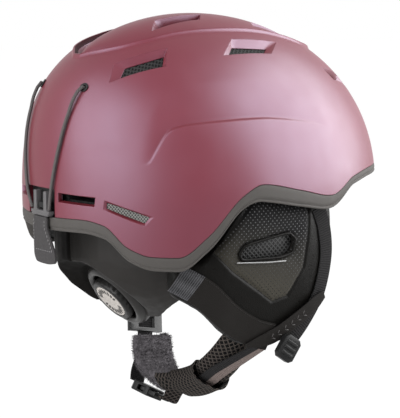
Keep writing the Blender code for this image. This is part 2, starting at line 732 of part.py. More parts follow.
def build_goggle_hook():
    """Catch plate, eyelets, and the hook that hangs from two elastic cords with its pull tab."""
    catch = catch_body("strap_catch", 0.0, "plastic_black")
    face = REAR_REACH - CATCH_RECESS
    lug = block((HOOK_MIDDLE - LUG_HALF_WIDTH, face - CATCH_WALL / 2, LUG_LOW),
                (HOOK_MIDDLE + LUG_HALF_WIDTH, face + HOOK_DEPTH, LUG_HIGH))
    combine(catch, add_object("catch_lug", lug), "UNION")
    bore, wall = EYELET_BORE, EYELET_BORE + EYELET_WALL
    for hand, sign in (("right", -1), ("left", 1)):
        profile = [(bore, EYELET_FLANGE_WALL), (EYELET_FLANGE, EYELET_FLANGE_WALL), (EYELET_FLANGE, CLEARANCE),
                   (wall, CLEARANCE), (wall, -2 * SHELL_WALL), (bore, -2 * SHELL_WALL)]
        add_object(f"cord_eyelet_{hand}", placed(turned(profile), *eyelet_seat(sign)), "plastic_black")
    pivot = Vector((0, dome_at(EYELET_TURN, EYELET_HEIGHT).y, EYELET_HEIGHT))
    swing = bpy.data.objects.new("hook_pivot", None)
    swing.location = pivot
    bpy.context.scene.collection.objects.link(swing)
    inner = LUG_HALF_WIDTH + 2 * CLEARANCE
    outer = inner + PRONG_WIDTH
    bar_top = HOOK_FOOT + HOOK_BAR
    prong_top = NOTCH_TOP - HOOK_HEADROOM
    half = [(0, HOOK_FOOT), (HOOK_HALF_WIDTH - HOOK_CORNER, HOOK_FOOT), (HOOK_HALF_WIDTH, HOOK_FOOT + HOOK_CORNER),
            (HOOK_HALF_WIDTH, bar_top), (outer, bar_top), (outer, prong_top), (inner, prong_top), (inner, bar_top)]
    outline = [(HOOK_MIDDLE + x, z) for x, z in half] + [(HOOK_MIDDLE - x, z) for x, z in reversed(half[1:])]
    back = face + 4 * CLEARANCE
    hook = add_object("strap_hook", prism(outline, back, back + HOOK_DEPTH, "Y"), "plastic_black", pivot)
    tab_back = REAR_REACH + 2 * CLEARANCE
    tab_top, tab_foot = HOOK_FOOT - CLEARANCE, HOOK_FOOT - TAB_LENGTH
    fold = tab_foot + TAB_FOLD
    rings = []
    for z, half_width, thickness in (
            (tab_top, TAB_TOP_HALF_WIDTH, TAB_THICKNESS), ((tab_top + fold) / 2, TAB_TOP_HALF_WIDTH, TAB_THICKNESS),
            (fold, TAB_FOOT_HALF_WIDTH, TAB_THICKNESS), (fold - CLEARANCE, TAB_FOOT_HALF_WIDTH, TAB_FOLD_THICKNESS),
            (tab_foot + TAB_CORNER, TAB_FOOT_HALF_WIDTH, TAB_FOLD_THICKNESS),
            (tab_foot, TAB_FOOT_HALF_WIDTH - TAB_CORNER, TAB_FOLD_THICKNESS)):
        front = tab_back + thickness
        rings.append([Vector((HOOK_MIDDLE + x, y, z)) for x, y in
                      ((-half_width, tab_back), (half_width, tab_back), (half_width, front), (-half_width, front))])
    tab = add_object("pull_tab", lofted(rings), "leather_grey", pivot)
    parts = [hook, tab]
    for hand, sign in (("right", -1), ("left", 1)):
        parts.append(elastic_cord(f"elastic_cord_{hand}", sign, (HOOK_HALF_WIDTH + outer) / 2, bar_top, pivot))
    for item in parts:
        item.parent = swing
        item.matrix_parent_inverse = Matrix.Translation(-pivot)


def elastic_cord(name, sign, end_x, end_z, pivot):
    """Cord out of its eyelet and down the back of the shell to the hook's bar."""
    centre, normal = eyelet_seat(sign)
    start_x = abs(centre.x)
    fall = ((EYELET_HEIGHT, start_x), (EYELET_HEIGHT * 0.55, start_x * 0.86), (EYELET_HEIGHT * 0.1, start_x * 0.6),
            (end_z, end_x + sign * HOOK_MIDDLE))
    points = [centre - normal * SHELL_WALL / 2, centre + normal * CORD_STANDOFF]
    steps = 12
    rise = EYELET_FLANGE_WALL + CORD_RADIUS + 2 * CLEARANCE
    first = EYELET_HEIGHT - 2 * CORD_RADIUS
    foot = end_z + 3 * CLEARANCE
    settle = ((first - 3 * EYELET_FLANGE, CORD_STANDOFF), (first - EYELET_FLANGE, rise), (first, rise))
    for i in range(steps):
        z = first + (foot - first) * i / (steps - 1)
        points.append(dome_rear(sign * eased(fall, z), z, -eased(settle, z)))
    curve = bpy.data.curves.new(name, "CURVE")
    curve.dimensions = "3D"
    curve.bevel_depth = CORD_RADIUS
    curve.bevel_resolution = 2
    curve.use_fill_caps = True
    spline = curve.splines.new("POLY")
    spline.points.add(len(points) - 1)
    for place, point in zip(spline.points, points):
        place.co = (*(point - pivot), 1)
    curve.materials.append(finish("cord_grey"))
    item = bpy.data.objects.new(name, curve)
    item.location = pivot
    bpy.context.scene.collection.objects.link(item)
    return item


def ear_face(y, z):
    """Half width of an ear pad's outer face at a place along the helmet and a height."""
    low = trim_low(turn_at(y, TRIM_LIP_DEPTH))
    return dome_side(y, low, TRIM_LIP_DEPTH) - STRAP_ROOM + eased(EAR_BULGE, (low - z) / MM) * MM


def ear_strap(line, width, offset, count):
    """Rings of a band that lies on an ear pad, for the wearer's left side."""
    path = smooth_path(line, count)
    rings = []
    for i, place in enumerate(path):
        along = path[min(i + 1, count - 1)] - path[max(i - 1, 0)]
        across = Vector((-along.y, along.x)).normalized() * width / 2
        ring = []
        for out, edge in ((0, 1), (0, -1), (WEBBING_THICKNESS, -1), (WEBBING_THICKNESS, 1)):
            y, z = place + across * edge
            ring.append(Vector((ear_face(y, z) + offset + out, y, z)))
        rings.append(ring)
    return rings


def mirrored(rings, sign):
    return [[Vector((p.x * sign, p.y, p.z)) for p in ring] for ring in rings]


def ear_pad_rings():
    """Sections of the ear pad from rear to front: outer face down, inner face up."""
    rows = 5
    rear, front = EAR_EDGE[0][0] * MM, EAR_EDGE[-1][0] * MM
    rings = []
    for i in range(EAR_STATIONS):
        share = i / (EAR_STATIONS - 1)
        y = rear + (front - rear) * (0.5 - 0.5 * math.cos(math.pi * share))
        top = liner_floor(y, WEBBING_WIDTH / 3, STRAP_ROOM + EAR_THICKNESS)[0] - BOND_GAP
        low = eased(EAR_EDGE, y / MM) * MM
        heights = [top + (low - top) * k / rows for k in range(rows + 1)]
        outer = [Vector((ear_face(y, z), y, z)) for z in heights]
        inner = [Vector((ear_face(y, z) - EAR_THICKNESS, y, z)) for z in reversed(heights)]
        rings.append(outer + inner)
    return rings


def build_ear_pads():
    """Ear pads with a mesh window each, and the straps, keepers and dividers that lie on them."""
    for hand, sign in (("right", -1), ("left", 1)):
        pad = add_object(f"ear_pad_{hand}", lofted(mirrored(ear_pad_rings(), sign)), "pad_black")
        window = [(y * MM, z * MM) for y, z in EAR_WINDOW]
        middle = Vector((sum(y for y, _ in window), sum(z for _, z in window))) / len(window)
        face = ear_face(middle.x, middle.y)
        cut = prism(window, sign * (face - 2 * EAR_THICKNESS), sign * (face + EAR_THICKNESS), "X")
        combine(pad, add_object(f"ear_window_cut_{hand}", cut), "DIFFERENCE")
        inset = [middle + (Vector(p) - middle) * (1 - CLEARANCE / (7 * MM)) for p in window]
        depth = face - EAR_THICKNESS / 2
        mesh = prism(inset, sign * (depth - MESH_THICKNESS), sign * depth, "X")
        add_object(f"ear_mesh_{hand}", mesh, "mesh_grey")
        lay = STRAP_LAY
        add_object(f"front_strap_{hand}", lofted(mirrored(ear_strap(FRONT_STRAP, WEBBING_WIDTH, lay, 10), sign)),
                   "webbing_black")
        add_object(f"rear_strap_{hand}", lofted(mirrored(ear_strap(REAR_STRAP, REAR_STRAP_WIDTH, lay, 9), sign)),
                   "webbing_black")
        over = 2 * STRAP_LAY + WEBBING_THICKNESS
        add_object(f"strap_keeper_{hand}", lofted(mirrored(ear_strap(KEEPER_LINE, KEEPER_WIDTH, over, 7), sign)),
                   "webbing_black")
        build_divider(hand, sign)


def build_divider(hand, sign):
    """Ribbed divider that gathers the front and rear straps."""
    y, z = Vector(DIVIDER_CENTRE) * MM
    inner = ear_face(y, z + DIVIDER_SIZE[1] / 2) + 2 * STRAP_LAY + 2 * WEBBING_THICKNESS + BOND_GAP
    half_y, half_z = DIVIDER_SIZE[0] / 2, DIVIDER_SIZE[1] / 2
    turn = Matrix.Rotation(math.radians(DIVIDER_TILT), 2)
    face = inner + DIVIDER_THICKNESS
    corners = [turn @ Vector(p) for p in cut_corners(half_y, half_z, DIVIDER_CORNER)]
    plate = [(y + c.x, z + c.y) for c in corners]
    divider = add_object(f"strap_divider_{hand}", prism(plate, sign * inner, sign * face, "X"), "plastic_black")
    ribs = bmesh.new()
    pitch = (2 * half_z - 2 * DIVIDER_CORNER) / DIVIDER_RIBS
    for k in range(DIVIDER_RIBS):
        at = pitch * (k + 0.5 - DIVIDER_RIBS / 2)
        corners = [turn @ Vector((a * (half_y - DIVIDER_CORNER), at + b * pitch / 4)) for a, b in
                   ((-1, -1), (1, -1), (1, 1), (-1, 1))]
        outline = [(y + c.x, z + c.y) for c in corners]
        rib = prism(outline, sign * (face - DIVIDER_RIB), sign * (face + DIVIDER_RIB), "X")
        bmesh.ops.recalc_face_normals(rib, faces=rib.faces)
        merge(ribs, rib)
    combine(divider, add_object(f"divider_ribs_{hand}", ribs), "UNION")


def anchor_seats():
    """Places along the rim where the straps enter the liner, for the wearer's left side."""
    return [("front", FRONT_STRAP[0][0] * MM), ("rear", REAR_STRAP[0][0] * MM)]


def anchor_box(y, margin):
    half = WEBBING_WIDTH / 2 + margin
    low = liner_floor(y, WEBBING_WIDTH / 2, STRAP_ROOM + ANCHOR_WALL)[1]
    x = dome_side(y, low, TRIM_LIP_DEPTH) - STRAP_ROOM
    return block((x - ANCHOR_WALL - margin, y - half, low - 2 * ANCHOR_DEPTH * (margin > 0)),
                 (x + margin, y + half, low + ANCHOR_DEPTH + margin))


def anchor_blocks():
    """Pockets in the liner's edge for the strap anchors."""
    bm = bmesh.new()
    for _, y in anchor_seats():
        for sign in (-1, 1):
            box = anchor_box(y, BOND_GAP)
            bmesh.ops.scale(box, verts=box.verts, vec=(sign, 1, 1))
            bmesh.ops.recalc_face_normals(box, faces=box.faces)
            merge(bm, box)
    return add_object("anchor_pockets", bm)


def build_anchors():
    """Plugs that hold the strap ends in the liner's edge."""
    for place, y in anchor_seats():
        for hand, sign in (("right", -1), ("left", 1)):
            box = anchor_box(y, 0.0)
            bmesh.ops.scale(box, verts=box.verts, vec=(sign, 1, 1))
            add_object(f"{place}_anchor_{hand}", box, "plastic_black")


def cradle_at(turn, z, inset):
    reach = REAR_REACH - eased(CRADLE_REAR_INSET, z / MM) * MM - inset
    half = HALF_WIDTH - eased(CRADLE_SIDE_INSET, z / MM) * MM - inset
    return Vector((half * math.sin(math.radians(turn)), reach * math.cos(math.radians(turn)), z))


def dial_frame():
    """Matrix of the dial: origin on its face, Z out along its axis, X across the helmet."""
    tilt = math.radians(DIAL_TILT)
    outward = Vector((0, math.cos(tilt), -math.sin(tilt)))
    up = Vector((0, math.sin(tilt), math.cos(tilt)))
    across = up.cross(outward)
    place = Matrix((across, up, outward)).transposed().to_4x4()
    place.translation = Vector((0, REAR_REACH - DIAL_INSET, DIAL_HEIGHT))
    return place


def in_dial(bm):
    bmesh.ops.transform(bm, matrix=dial_frame(), verts=bm.verts)
    return bm


def dial_levels():
    """Heights in the dial's frame of the knob's foot, the gear layer and the housing floor."""
    knob_foot = -KNOB_HEIGHT
    gear_top = knob_foot - CLEARANCE
    gear_foot = gear_top - GEAR_LAYER
    floor_top = gear_foot - CLEARANCE
    return knob_foot, gear_top, gear_foot, floor_top


def build_cradle():
    """Rear cradle that hugs the nape, with a round opening for the dial housing."""
    rings = []
    stations = 19
    rows = 6
    for i in range(stations):
        turn = CRADLE_SPREAD * (2 * i / (stations - 1) - 1)
        top = trim_low(turn * 1.05) - 2 * CLEARANCE
        low = eased(CRADLE_EDGE, abs(turn)) * MM
        heights = [top + (low - top) * k / rows for k in range(rows + 1)]
        outer = [cradle_at(turn, z, 0.0) for z in heights]
        inner = [cradle_at(turn, z, CRADLE_WALL) for z in reversed(heights)]
        rings.append(outer + inner)
    cradle = add_object("rear_cradle", lofted(rings), "cradle_grey")
    hole = rod(HOUSING_BORE + HOUSING_WALL + CLEARANCE, -4 * KNOB_HEIGHT, 4 * KNOB_HEIGHT, 32)
    combine(cradle, add_object("housing_hole", in_dial(hole)), "DIFFERENCE")
    _, gear_top, gear_foot, _ = dial_levels()
    passage = rack_slots(gear_top, gear_foot, RACK_TAIL + 3 * TOOTH_PITCH)
    combine(cradle, add_object("rack_passages", in_dial(passage)), "DIFFERENCE")


def build_dial():
    """Housing cup, knob with its cap and screw, pinion and the two racks it drives."""
    knob_foot, gear_top, gear_foot, floor_top = dial_levels()
    foot = floor_top - HOUSING_FLOOR
    outer = HOUSING_BORE + HOUSING_WALL
    steps = 32
    rings = []
    for k in range(steps):
        angle = 2 * math.pi * k / steps
        c, s = math.cos(angle), math.sin(angle)
        brim = HOUSING_RISE * s
        profile = ((0.6 * SCREW_HEAD, foot), (outer, foot), (outer, brim), (HOUSING_BORE, brim),
                   (HOUSING_BORE, floor_top), (0.6 * SCREW_HEAD, floor_top))
        rings.append([Vector((r * c, r * s, z)) for r, z in profile])
    housing = add_object("dial_housing", in_dial(lofted(rings, closed=True)), "plastic_black")
    slots = rack_slots(gear_top, gear_foot, outer + HOUSING_WALL)
    combine(housing, add_object("rack_slots", in_dial(slots)), "DIFFERENCE")
    origin = dial_frame().translation.copy()
    axis = bpy.data.objects.new("dial_axis", None)
    axis.location = origin
    bpy.context.scene.collection.objects.link(axis)
    parts = [add_object("dial_knob", in_dial(knob_mesh(knob_foot)), "plastic_black", origin)]
    cap = rod(CAP_RADIUS, -CAP_WALL, 0.0, 32)
    parts.append(add_object("dial_cap", in_dial(cap), "cap_ivory", origin))
    pinion_radius = PINION_TEETH * TOOTH_PITCH / (2 * math.pi)
    parts.append(add_object("dial_pinion", in_dial(pinion_mesh(pinion_radius, gear_top, gear_foot)), "plastic_black",
                            origin))
    screw = turned_screw(gear_foot)
    parts.append(add_object("dial_screw", in_dial(screw), "steel", origin))
    for item in parts:
        item.parent = axis
        item.matrix_parent_inverse = Matrix.Translation(-origin)
    for hand, sign in (("right", 1), ("left", -1)):
        add_object(f"fit_rack_{hand}", in_dial(rack_mesh(sign, pinion_radius, gear_top, gear_foot)), "plastic_black")


def knob_mesh(foot):
    """Ribbed knob with a seat for its cap and a bore for its screw."""
    steps = KNOB_RIBS * 2
    shelf = -CAP_WALL - CLEARANCE
    bore = SCREW_HEAD + CLEARANCE
    seat = CAP_RADIUS + CLEARANCE
    rings = []
    for k in range(steps):
        angle = 2 * math.pi * k / steps
        radius = KNOB_RADIUS - KNOB_RIB * (k % 2)
        profile = ((bore, foot), (radius, foot), (radius, -CAP_WALL), (KNOB_RADIUS - 2 * KNOB_RIB, 0.0), (seat, 0.0),
                   (seat, shelf), (bore, shelf))
        rings.append([Vector((r * math.cos(angle), r * math.sin(angle), z)) for r, z in profile])
    return lofted(rings, closed=True)


def turned_screw(gear_foot):
    """Screw from inside the knob through the pinion."""
    head_top = -CAP_WALL - 2 * CLEARANCE
    head_foot = -KNOB_HEIGHT + CLEARANCE
    steps = 12
    rings = []
    for radius, z in ((SCREW_RADIUS, gear_foot), (SCREW_RADIUS, head_foot), (SCREW_HEAD, head_foot),
                      (SCREW_HEAD, head_top)):
        rings.append([Vector((radius * math.cos(2 * math.pi * k / steps), radius * math.sin(2 * math.pi * k / steps),
                              z))
                      for k in range(steps)])
    return lofted(rings)


def pinion_mesh(pitch_radius, top, foot):
    """Toothed wheel with a bore for the screw."""
    bore = SCREW_RADIUS + CLEARANCE
    rings = []
    for k in range(PINION_TEETH * 4):
        angle = 2 * math.pi * (k - 0.5) / (PINION_TEETH * 4)
        radius = pitch_radius + TOOTH_DEPTH / 2 * (1 if k % 4 < 2 else -1)
        rings.append([Vector((r * math.cos(angle), r * math.sin(angle), z)) for r, z in
                      ((bore, foot), (radius, foot), (radius, top), (bore, top))])
    return lofted(rings, closed=True)


def rack_mesh(sign, pitch_radius, top, foot):
    """Toothed bar beside the pinion: teeth at its root, plain tail out through the housing wall."""
    pitch_line = pitch_radius + MESH_GAP
    tip = pitch_line - TOOTH_DEPTH / 2
    root = pitch_line + TOOTH_DEPTH / 2
    back = root + RACK_BACK
    start = -TOOTH_PITCH * RACK_TEETH / 2
    edge = []
    for k in range(RACK_TEETH):
        middle = start + (k + 1) * TOOTH_PITCH
        edge += [(middle + TOOTH_PITCH * share / 2, depth) for share, depth in
                 ((-TOOTH_ROOT, root), (-TOOTH_TIP, tip), (TOOTH_TIP, tip), (TOOTH_ROOT, root))]
    outline = [(start, root)] + edge + [(RACK_TAIL, root), (RACK_TAIL, back), (start, back)]
    rings = [[Vector((a * sign, b * sign, z)) for a, b in outline] for z in (foot, top)]
    return lofted(rings)


def rack_slots(top, foot, reach):
    """Slots that the rack tails slide through, out to a reach from the dial's axis."""
    pitch_line = PINION_TEETH * TOOTH_PITCH / (2 * math.pi)
    low = pitch_line - TOOTH_DEPTH
    high = pitch_line + TOOTH_DEPTH + RACK_BACK + CLEARANCE
    bm = bmesh.new()
    for sign in (-1, 1):
        box = block((HOUSING_BORE / 2, low, foot - CLEARANCE / 2),
                    (reach, high, top + CLEARANCE))
        bmesh.ops.scale(box, verts=box.verts, vec=(sign, sign, 1))
        bmesh.ops.recalc_face_normals(box, faces=box.faces)
        merge(bm, box)
    return bm


def ribbon(path, lies, widths, thickness):
    """Rings of a flat band along a path, with the width and its direction given at each point."""
    rings = []
    for i, (point, across, width) in enumerate(zip(path, lies, widths)):
        along = (path[min(i + 1, len(path) - 1)] - path[max(i - 1, 0)]).normalized()
        side = (across - along * across.dot(along)).normalized()
        normal = along.cross(side)
        rings.append([point + side * a * width / 2 + normal * b * thickness / 2
                      for a, b in ((-1, -1), (1, -1), (1, 1), (-1, 1))])
    return rings


def arm_points():
    """Places along the front of the right arm, in millimetres."""
    return [Vector((inset - HALF_WIDTH / MM, y, z)) for inset, y, z in ARM_LINE]


def build_headband():
    """Arms that carry the cradle's ends forward to pins in the liner."""
    for hand, sign in (("right", 1), ("left", -1)):
        lay = CRADLE_WALL + ARM_THICKNESS / 2 + COMFORT_GAP
        line = [cradle_at(-turn, z * MM, lay) / MM for turn, z in ARM_SEAT] + arm_points()
        path = [Vector((p.x * sign, p.y, p.z)) for p in smooth_path(line, 13)]
        rings = ribbon(path, [Vector(ARM_LIE)] * len(path), [ARM_WIDTH] * len(path), ARM_THICKNESS)
        add_object(f"headband_arm_{hand}", lofted(rings), "plastic_black")
        add_object(f"headband_pin_{hand}", pin_body(sign, 0.0), "plastic_black")


def pin_body(sign, margin):
    end = arm_points()[-1] * MM
    start = abs(end.x) + ARM_THICKNESS / 2 + 2 * CLEARANCE
    bm = rod(PIN_RADIUS + margin, start - margin, start + PIN_LENGTH + margin, 12)
    return placed(bm, Vector((0, end.y, end.z - ARM_WIDTH / 4)), Vector((-sign, 0, 0)))


def pin_sockets():
    bm = bmesh.new()
    for sign in (-1, 1):
        merge(bm, pin_body(sign, BOND_GAP))
    return add_object("pin_sockets", bm)


def build_comfort_pads():
    """Crown pad and brow pad against the inside of the liner."""
    inset = SHELL_WALL + BOND_GAP + FOAM_THICKNESS + COMFORT_GAP
    crown = dome_solid(lambda turn: CROWN_PAD_LOW, inset, inset + PAD_THICKNESS, 3, PAD_COLUMNS)
    add_object("crown_pad", crown, "pad_black")
    rings = []
    stations = 15
    for i in range(stations):
        turn = 180 + BROW_PAD_SPREAD * (2 * i / (stations - 1) - 1)
        corners = ((BROW_PAD_LOW, 0), (BROW_PAD_LOW + BROW_PAD_HEIGHT, 0),
                   (BROW_PAD_LOW + BROW_PAD_HEIGHT, PAD_THICKNESS), (BROW_PAD_LOW, PAD_THICKNESS))
        rings.append([dome_at(turn, z, inset + depth) for z, depth in corners])
    add_object("brow_pad", lofted(rings), "pad_black")


def chin_points(points):
    """Places on the chin strap in millimetres, sideways from the ear pads' lower edges."""
    y = STRAP_DROP * MM
    half = (ear_face(y, eased(EAR_EDGE, STRAP_DROP) * MM) - EAR_THICKNESS / 2) / MM
    return [Vector((half * x / 100, y, z)) for x, y, z in points]


def buckle_frame():
    """Matrix of the buckle: X along the pull from socket to tongue, Y across, Z out of its face."""
    start, end = chin_points((BUCKLE_START, BUCKLE_END))
    along = (end - start).normalized()
    across = Vector(BUCKLE_LIE)
    across = (across - along * across.dot(along)).normalized()
    place = Matrix((along, across, along.cross(across))).transposed().to_4x4()
    place.translation = start * MM
    return place


def build_buckle():
    """Side-release buckle: socket on the left webbing, tongue with two prongs on the right."""
    place = buckle_frame()
    half = BUCKLE_WIDTH / 2
    thick = BUCKLE_THICKNESS / 2
    outline = [(0, half - BUCKLE_CORNER), (BUCKLE_CORNER, half), (SOCKET_LENGTH, half)]
    outline += [(x, -y) for x, y in reversed(outline)]
    socket = lofted([[Vector((x, y, z)) for x, y in outline] for z in (-thick, thick)])
    bmesh.ops.transform(socket, matrix=place, verts=socket.verts)
    socket = add_object("buckle_socket", socket, "plastic_black")
    wall = BUCKLE_WALL
    slot = PRONG_THICKNESS / 2 + CLEARANCE
    cavity = block((SOCKET_LENGTH - PRONG_LENGTH - wall, wall - half, -slot), (2 * SOCKET_LENGTH, half - wall, slot))
    for sign in (-1, 1):
        window = block((SOCKET_LENGTH * RELEASE_START, half - 2 * wall, -slot),
                       (SOCKET_LENGTH * RELEASE_END, half + wall, slot))
        bmesh.ops.scale(window, verts=window.verts, vec=(1, sign, 1))
        bmesh.ops.recalc_face_normals(window, faces=window.faces)
        bmesh.ops.transform(window, matrix=place, verts=window.verts)
        combine(socket, add_object(f"buckle_window_{sign}", window), "DIFFERENCE")
    bmesh.ops.transform(cavity, matrix=place, verts=cavity.verts)
    combine(socket, add_object("buckle_cavity", cavity), "DIFFERENCE")
    reach = half - wall - CLEARANCE
    start = SOCKET_LENGTH - PRONG_LENGTH
    bar = SOCKET_LENGTH + CLEARANCE
    end = bar + TONGUE_BAR
    arm = PRONG_WIDTH_AT_ROOT
    side = [(start, reach - arm), (start + arm, reach), (start + 2 * arm, reach), (bar, reach - arm / 2), (bar, half),
            (end, half)]
    inner = [(bar, reach - 2 * arm), (start + arm, reach - 2 * arm)]
    outline = side + [(x, -y) for x, y in reversed(side)]
    outline = outline + [(x, -y) for x, y in reversed(inner)] + inner
    rings = [[Vector((x, y, z)) for x, y in outline] for z in (-PRONG_THICKNESS / 2, PRONG_THICKNESS / 2)]
    tongue = lofted(rings)
    bmesh.ops.transform(tongue, matrix=place, verts=tongue.verts)
    add_object("buckle_tongue", tongue, "plastic_black")


def build_chin_strap():
    """Chin pad, webbing on both sides, the strap adjuster and the buckle."""
    stations = CHIN_PAD_STATIONS
    pad_path = smooth_path(chin_points(CHIN_PAD_LINE), stations)
    widths = [eased(CHIN_PAD_WIDTH, k / (stations - 1)) * MM for k in range(stations)]
    pad = ribbon(pad_path, smooth_path(CHIN_PAD_LIE, stations), widths, CHIN_PAD_THICKNESS)
    add_object("chin_pad", lofted(pad), "fleece_grey")
    under = CHIN_PAD_THICKNESS + WEBBING_THICKNESS + CHIN_GAP
    right_line = chin_points((RIGHT_WEBBING_START,))
    right_lies = [RIGHT_WEBBING_LIE]
    for k in SLEEVE_STEPS:
        low, high = pad[k][0] + pad[k][1], pad[k][2] + pad[k][3]
        right_line.append((pad_path[k] + (low - high).normalized() * under / 2) / MM)
        right_lies.append(pad[k][1] - pad[k][0])
    tongue_end = SOCKET_LENGTH + TONGUE_BAR + 5 * CLEARANCE
    right_line += [buckle_frame() @ Vector((tongue_end + run, 0, 0)) / MM for run in (TONGUE_RUN, 0)]
    right_lies = [Vector(lie).normalized() for lie in right_lies + [BUCKLE_LIE, BUCKLE_LIE]]
    right = ribbon(smooth_path(right_line, stations), smooth_path(right_lies, stations), [WEBBING_WIDTH] * stations,
                   WEBBING_THICKNESS)
    add_object("chin_webbing_right", lofted(right), "webbing_brown")
    steps = 13
    left_path = smooth_path(chin_points(LEFT_WEBBING_LINE), steps)
    left_lies = smooth_path(LEFT_WEBBING_LIE, steps)
    left = ribbon(left_path, left_lies, [WEBBING_WIDTH] * steps, WEBBING_THICKNESS)
    add_object("chin_webbing_left", lofted(left), "webbing_black")
    build_buckle()
    build_glide(left_path, left_lies)


def build_glide(path, lies):
    """Ladder adjuster round the left webbing, open between its bars."""
    k = round(GLIDE_SHARE * (len(path) - 1))
    along = (path[k + 1] - path[k - 1]).normalized()
    side = (lies[k] - along * lies[k].dot(along)).normalized()
    place = Matrix((along, side, along.cross(side))).transposed().to_4x4()
    place.translation = path[k]
    half = Vector((GLIDE_LENGTH, GLIDE_WIDTH, GLIDE_THICKNESS)) / 2
    frame = block(-half, half)
    bmesh.ops.transform(frame, matrix=place, verts=frame.verts)
    glide = add_object("strap_glide", frame, "plastic_black")
    slot = Vector((GLIDE_LENGTH, WEBBING_WIDTH / 2 + 3 * CLEARANCE, WEBBING_THICKNESS / 2 + 2 * CLEARANCE))
    window = Vector((GLIDE_LENGTH / 2 - GLIDE_BAR, slot.y - CLEARANCE, GLIDE_THICKNESS))
    for name, size in (("glide_slot", slot), ("glide_window", window)):
        hole = block(-size, size)
        bmesh.ops.transform(hole, matrix=place, verts=hole.verts)
        combine(glide, add_object(name, hole), "DIFFERENCE")


def main():
    clear_scene()
    build_shell_and_liner()
    build_trim()
    build_goggle_hook()
    build_ear_pads()
    build_anchors()
    build_cradle()
    build_dial()
    build_headband()
    build_comfort_pads()
    build_chin_strap()


main()
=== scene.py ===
"""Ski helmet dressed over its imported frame.

Painted shell, rim trim, padded ear covers, webbing, fit dial and chin strap.
"""

import json
import logging
import math
from dataclasses import dataclass, field
from enum import Enum
from typing import Callable, Sequence

import bmesh
import bpy
import numpy as np
from mathutils import Matrix, Vector
from mathutils.bvhtree import BVHTree

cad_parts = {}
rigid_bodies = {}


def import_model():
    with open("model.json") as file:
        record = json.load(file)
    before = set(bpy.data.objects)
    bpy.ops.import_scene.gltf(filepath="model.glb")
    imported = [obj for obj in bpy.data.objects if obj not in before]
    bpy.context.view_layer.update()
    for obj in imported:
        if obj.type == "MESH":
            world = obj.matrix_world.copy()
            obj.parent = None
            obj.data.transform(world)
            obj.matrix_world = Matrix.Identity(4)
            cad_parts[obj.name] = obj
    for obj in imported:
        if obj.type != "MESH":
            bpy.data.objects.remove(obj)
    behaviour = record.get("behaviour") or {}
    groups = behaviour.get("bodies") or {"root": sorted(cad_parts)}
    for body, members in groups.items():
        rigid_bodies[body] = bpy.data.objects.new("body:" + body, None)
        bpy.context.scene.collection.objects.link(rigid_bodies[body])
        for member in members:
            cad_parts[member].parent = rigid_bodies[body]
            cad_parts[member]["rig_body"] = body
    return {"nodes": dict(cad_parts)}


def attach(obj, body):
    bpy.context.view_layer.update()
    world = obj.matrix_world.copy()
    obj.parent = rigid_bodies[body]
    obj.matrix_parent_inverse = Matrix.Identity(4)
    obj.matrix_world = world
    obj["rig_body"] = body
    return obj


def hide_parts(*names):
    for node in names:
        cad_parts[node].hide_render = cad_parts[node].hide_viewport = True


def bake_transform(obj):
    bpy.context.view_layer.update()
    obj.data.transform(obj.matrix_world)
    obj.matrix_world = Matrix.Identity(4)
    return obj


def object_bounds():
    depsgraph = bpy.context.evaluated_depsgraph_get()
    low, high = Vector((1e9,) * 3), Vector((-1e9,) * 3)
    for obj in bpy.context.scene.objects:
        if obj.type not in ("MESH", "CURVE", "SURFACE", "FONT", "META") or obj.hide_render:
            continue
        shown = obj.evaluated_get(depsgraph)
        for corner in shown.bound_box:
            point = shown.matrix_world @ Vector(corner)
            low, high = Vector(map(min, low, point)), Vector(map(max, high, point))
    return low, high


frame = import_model()
CAD_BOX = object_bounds()
LOG = logging.getLogger("helmet")
MM = 0.001

BAND_FACETS = 6
BAND_RING = 2 * (BAND_FACETS + 1)
SELVEDGE = 0.6

Ring = list[Vector]
Colour = tuple[float, float, float]
Piece = bpy.types.Object
Socket = bpy.types.NodeSocket


class Hand(Enum):
    """Side of the wearer, with the sign of its X."""

    RIGHT = -1
    LEFT = 1

    @property
    def label(self) -> str:
        """Name used in node names."""
        return self.name.lower()


def grey(level: float) -> Colour:
    """Neutral colour of a level."""
    return (level, level, level)


def circle(count: int) -> list[float]:
    """Evenly spaced angles of one turn."""
    return [2 * math.pi * k / count for k in range(count)]


def spread(count: int) -> list[float]:
    """Places over a width, from -1 to 1, at the edges of a number of facets."""
    return [2 * k / count - 1 for k in range(count + 1)]


def heading(path: Sequence[Vector], i: int) -> Vector:
    """Run of a path past one of its points."""
    return path[min(i + 1, len(path) - 1)] - path[max(i - 1, 0)]


def eased(points: Sequence[tuple[float, float]], at: float) -> float:
    """Value on a smooth curve through points, without overshoot.

    Args:
        points: Places and their values.
        at: Place asked for.

    Returns:
        The value there.
    """
    pts = sorted(points)
    if at <= pts[0][0]:
        return pts[0][1]
    if at >= pts[-1][0]:
        return pts[-1][1]
    steps = [(b[1] - a[1]) / (b[0] - a[0]) for a, b in zip(pts, pts[1:])]
    slopes = [steps[0]]
    for a, b in zip(steps, steps[1:]):
        slopes.append(2 * a * b / (a + b) if a * b > 0 else 0.0)
    slopes.append(steps[-1])
    k = max(i for i in range(len(pts) - 1) if pts[i][0] <= at)
    span = pts[k + 1][0] - pts[k][0]
    t = (at - pts[k][0]) / span
    return ((1 + 2 * t) * (1 - t) ** 2 * pts[k][1] + t * (1 - t) ** 2 * span * slopes[k]
            + t * t * (3 - 2 * t) * pts[k + 1][1] + t * t * (t - 1) * span * slopes[k + 1])


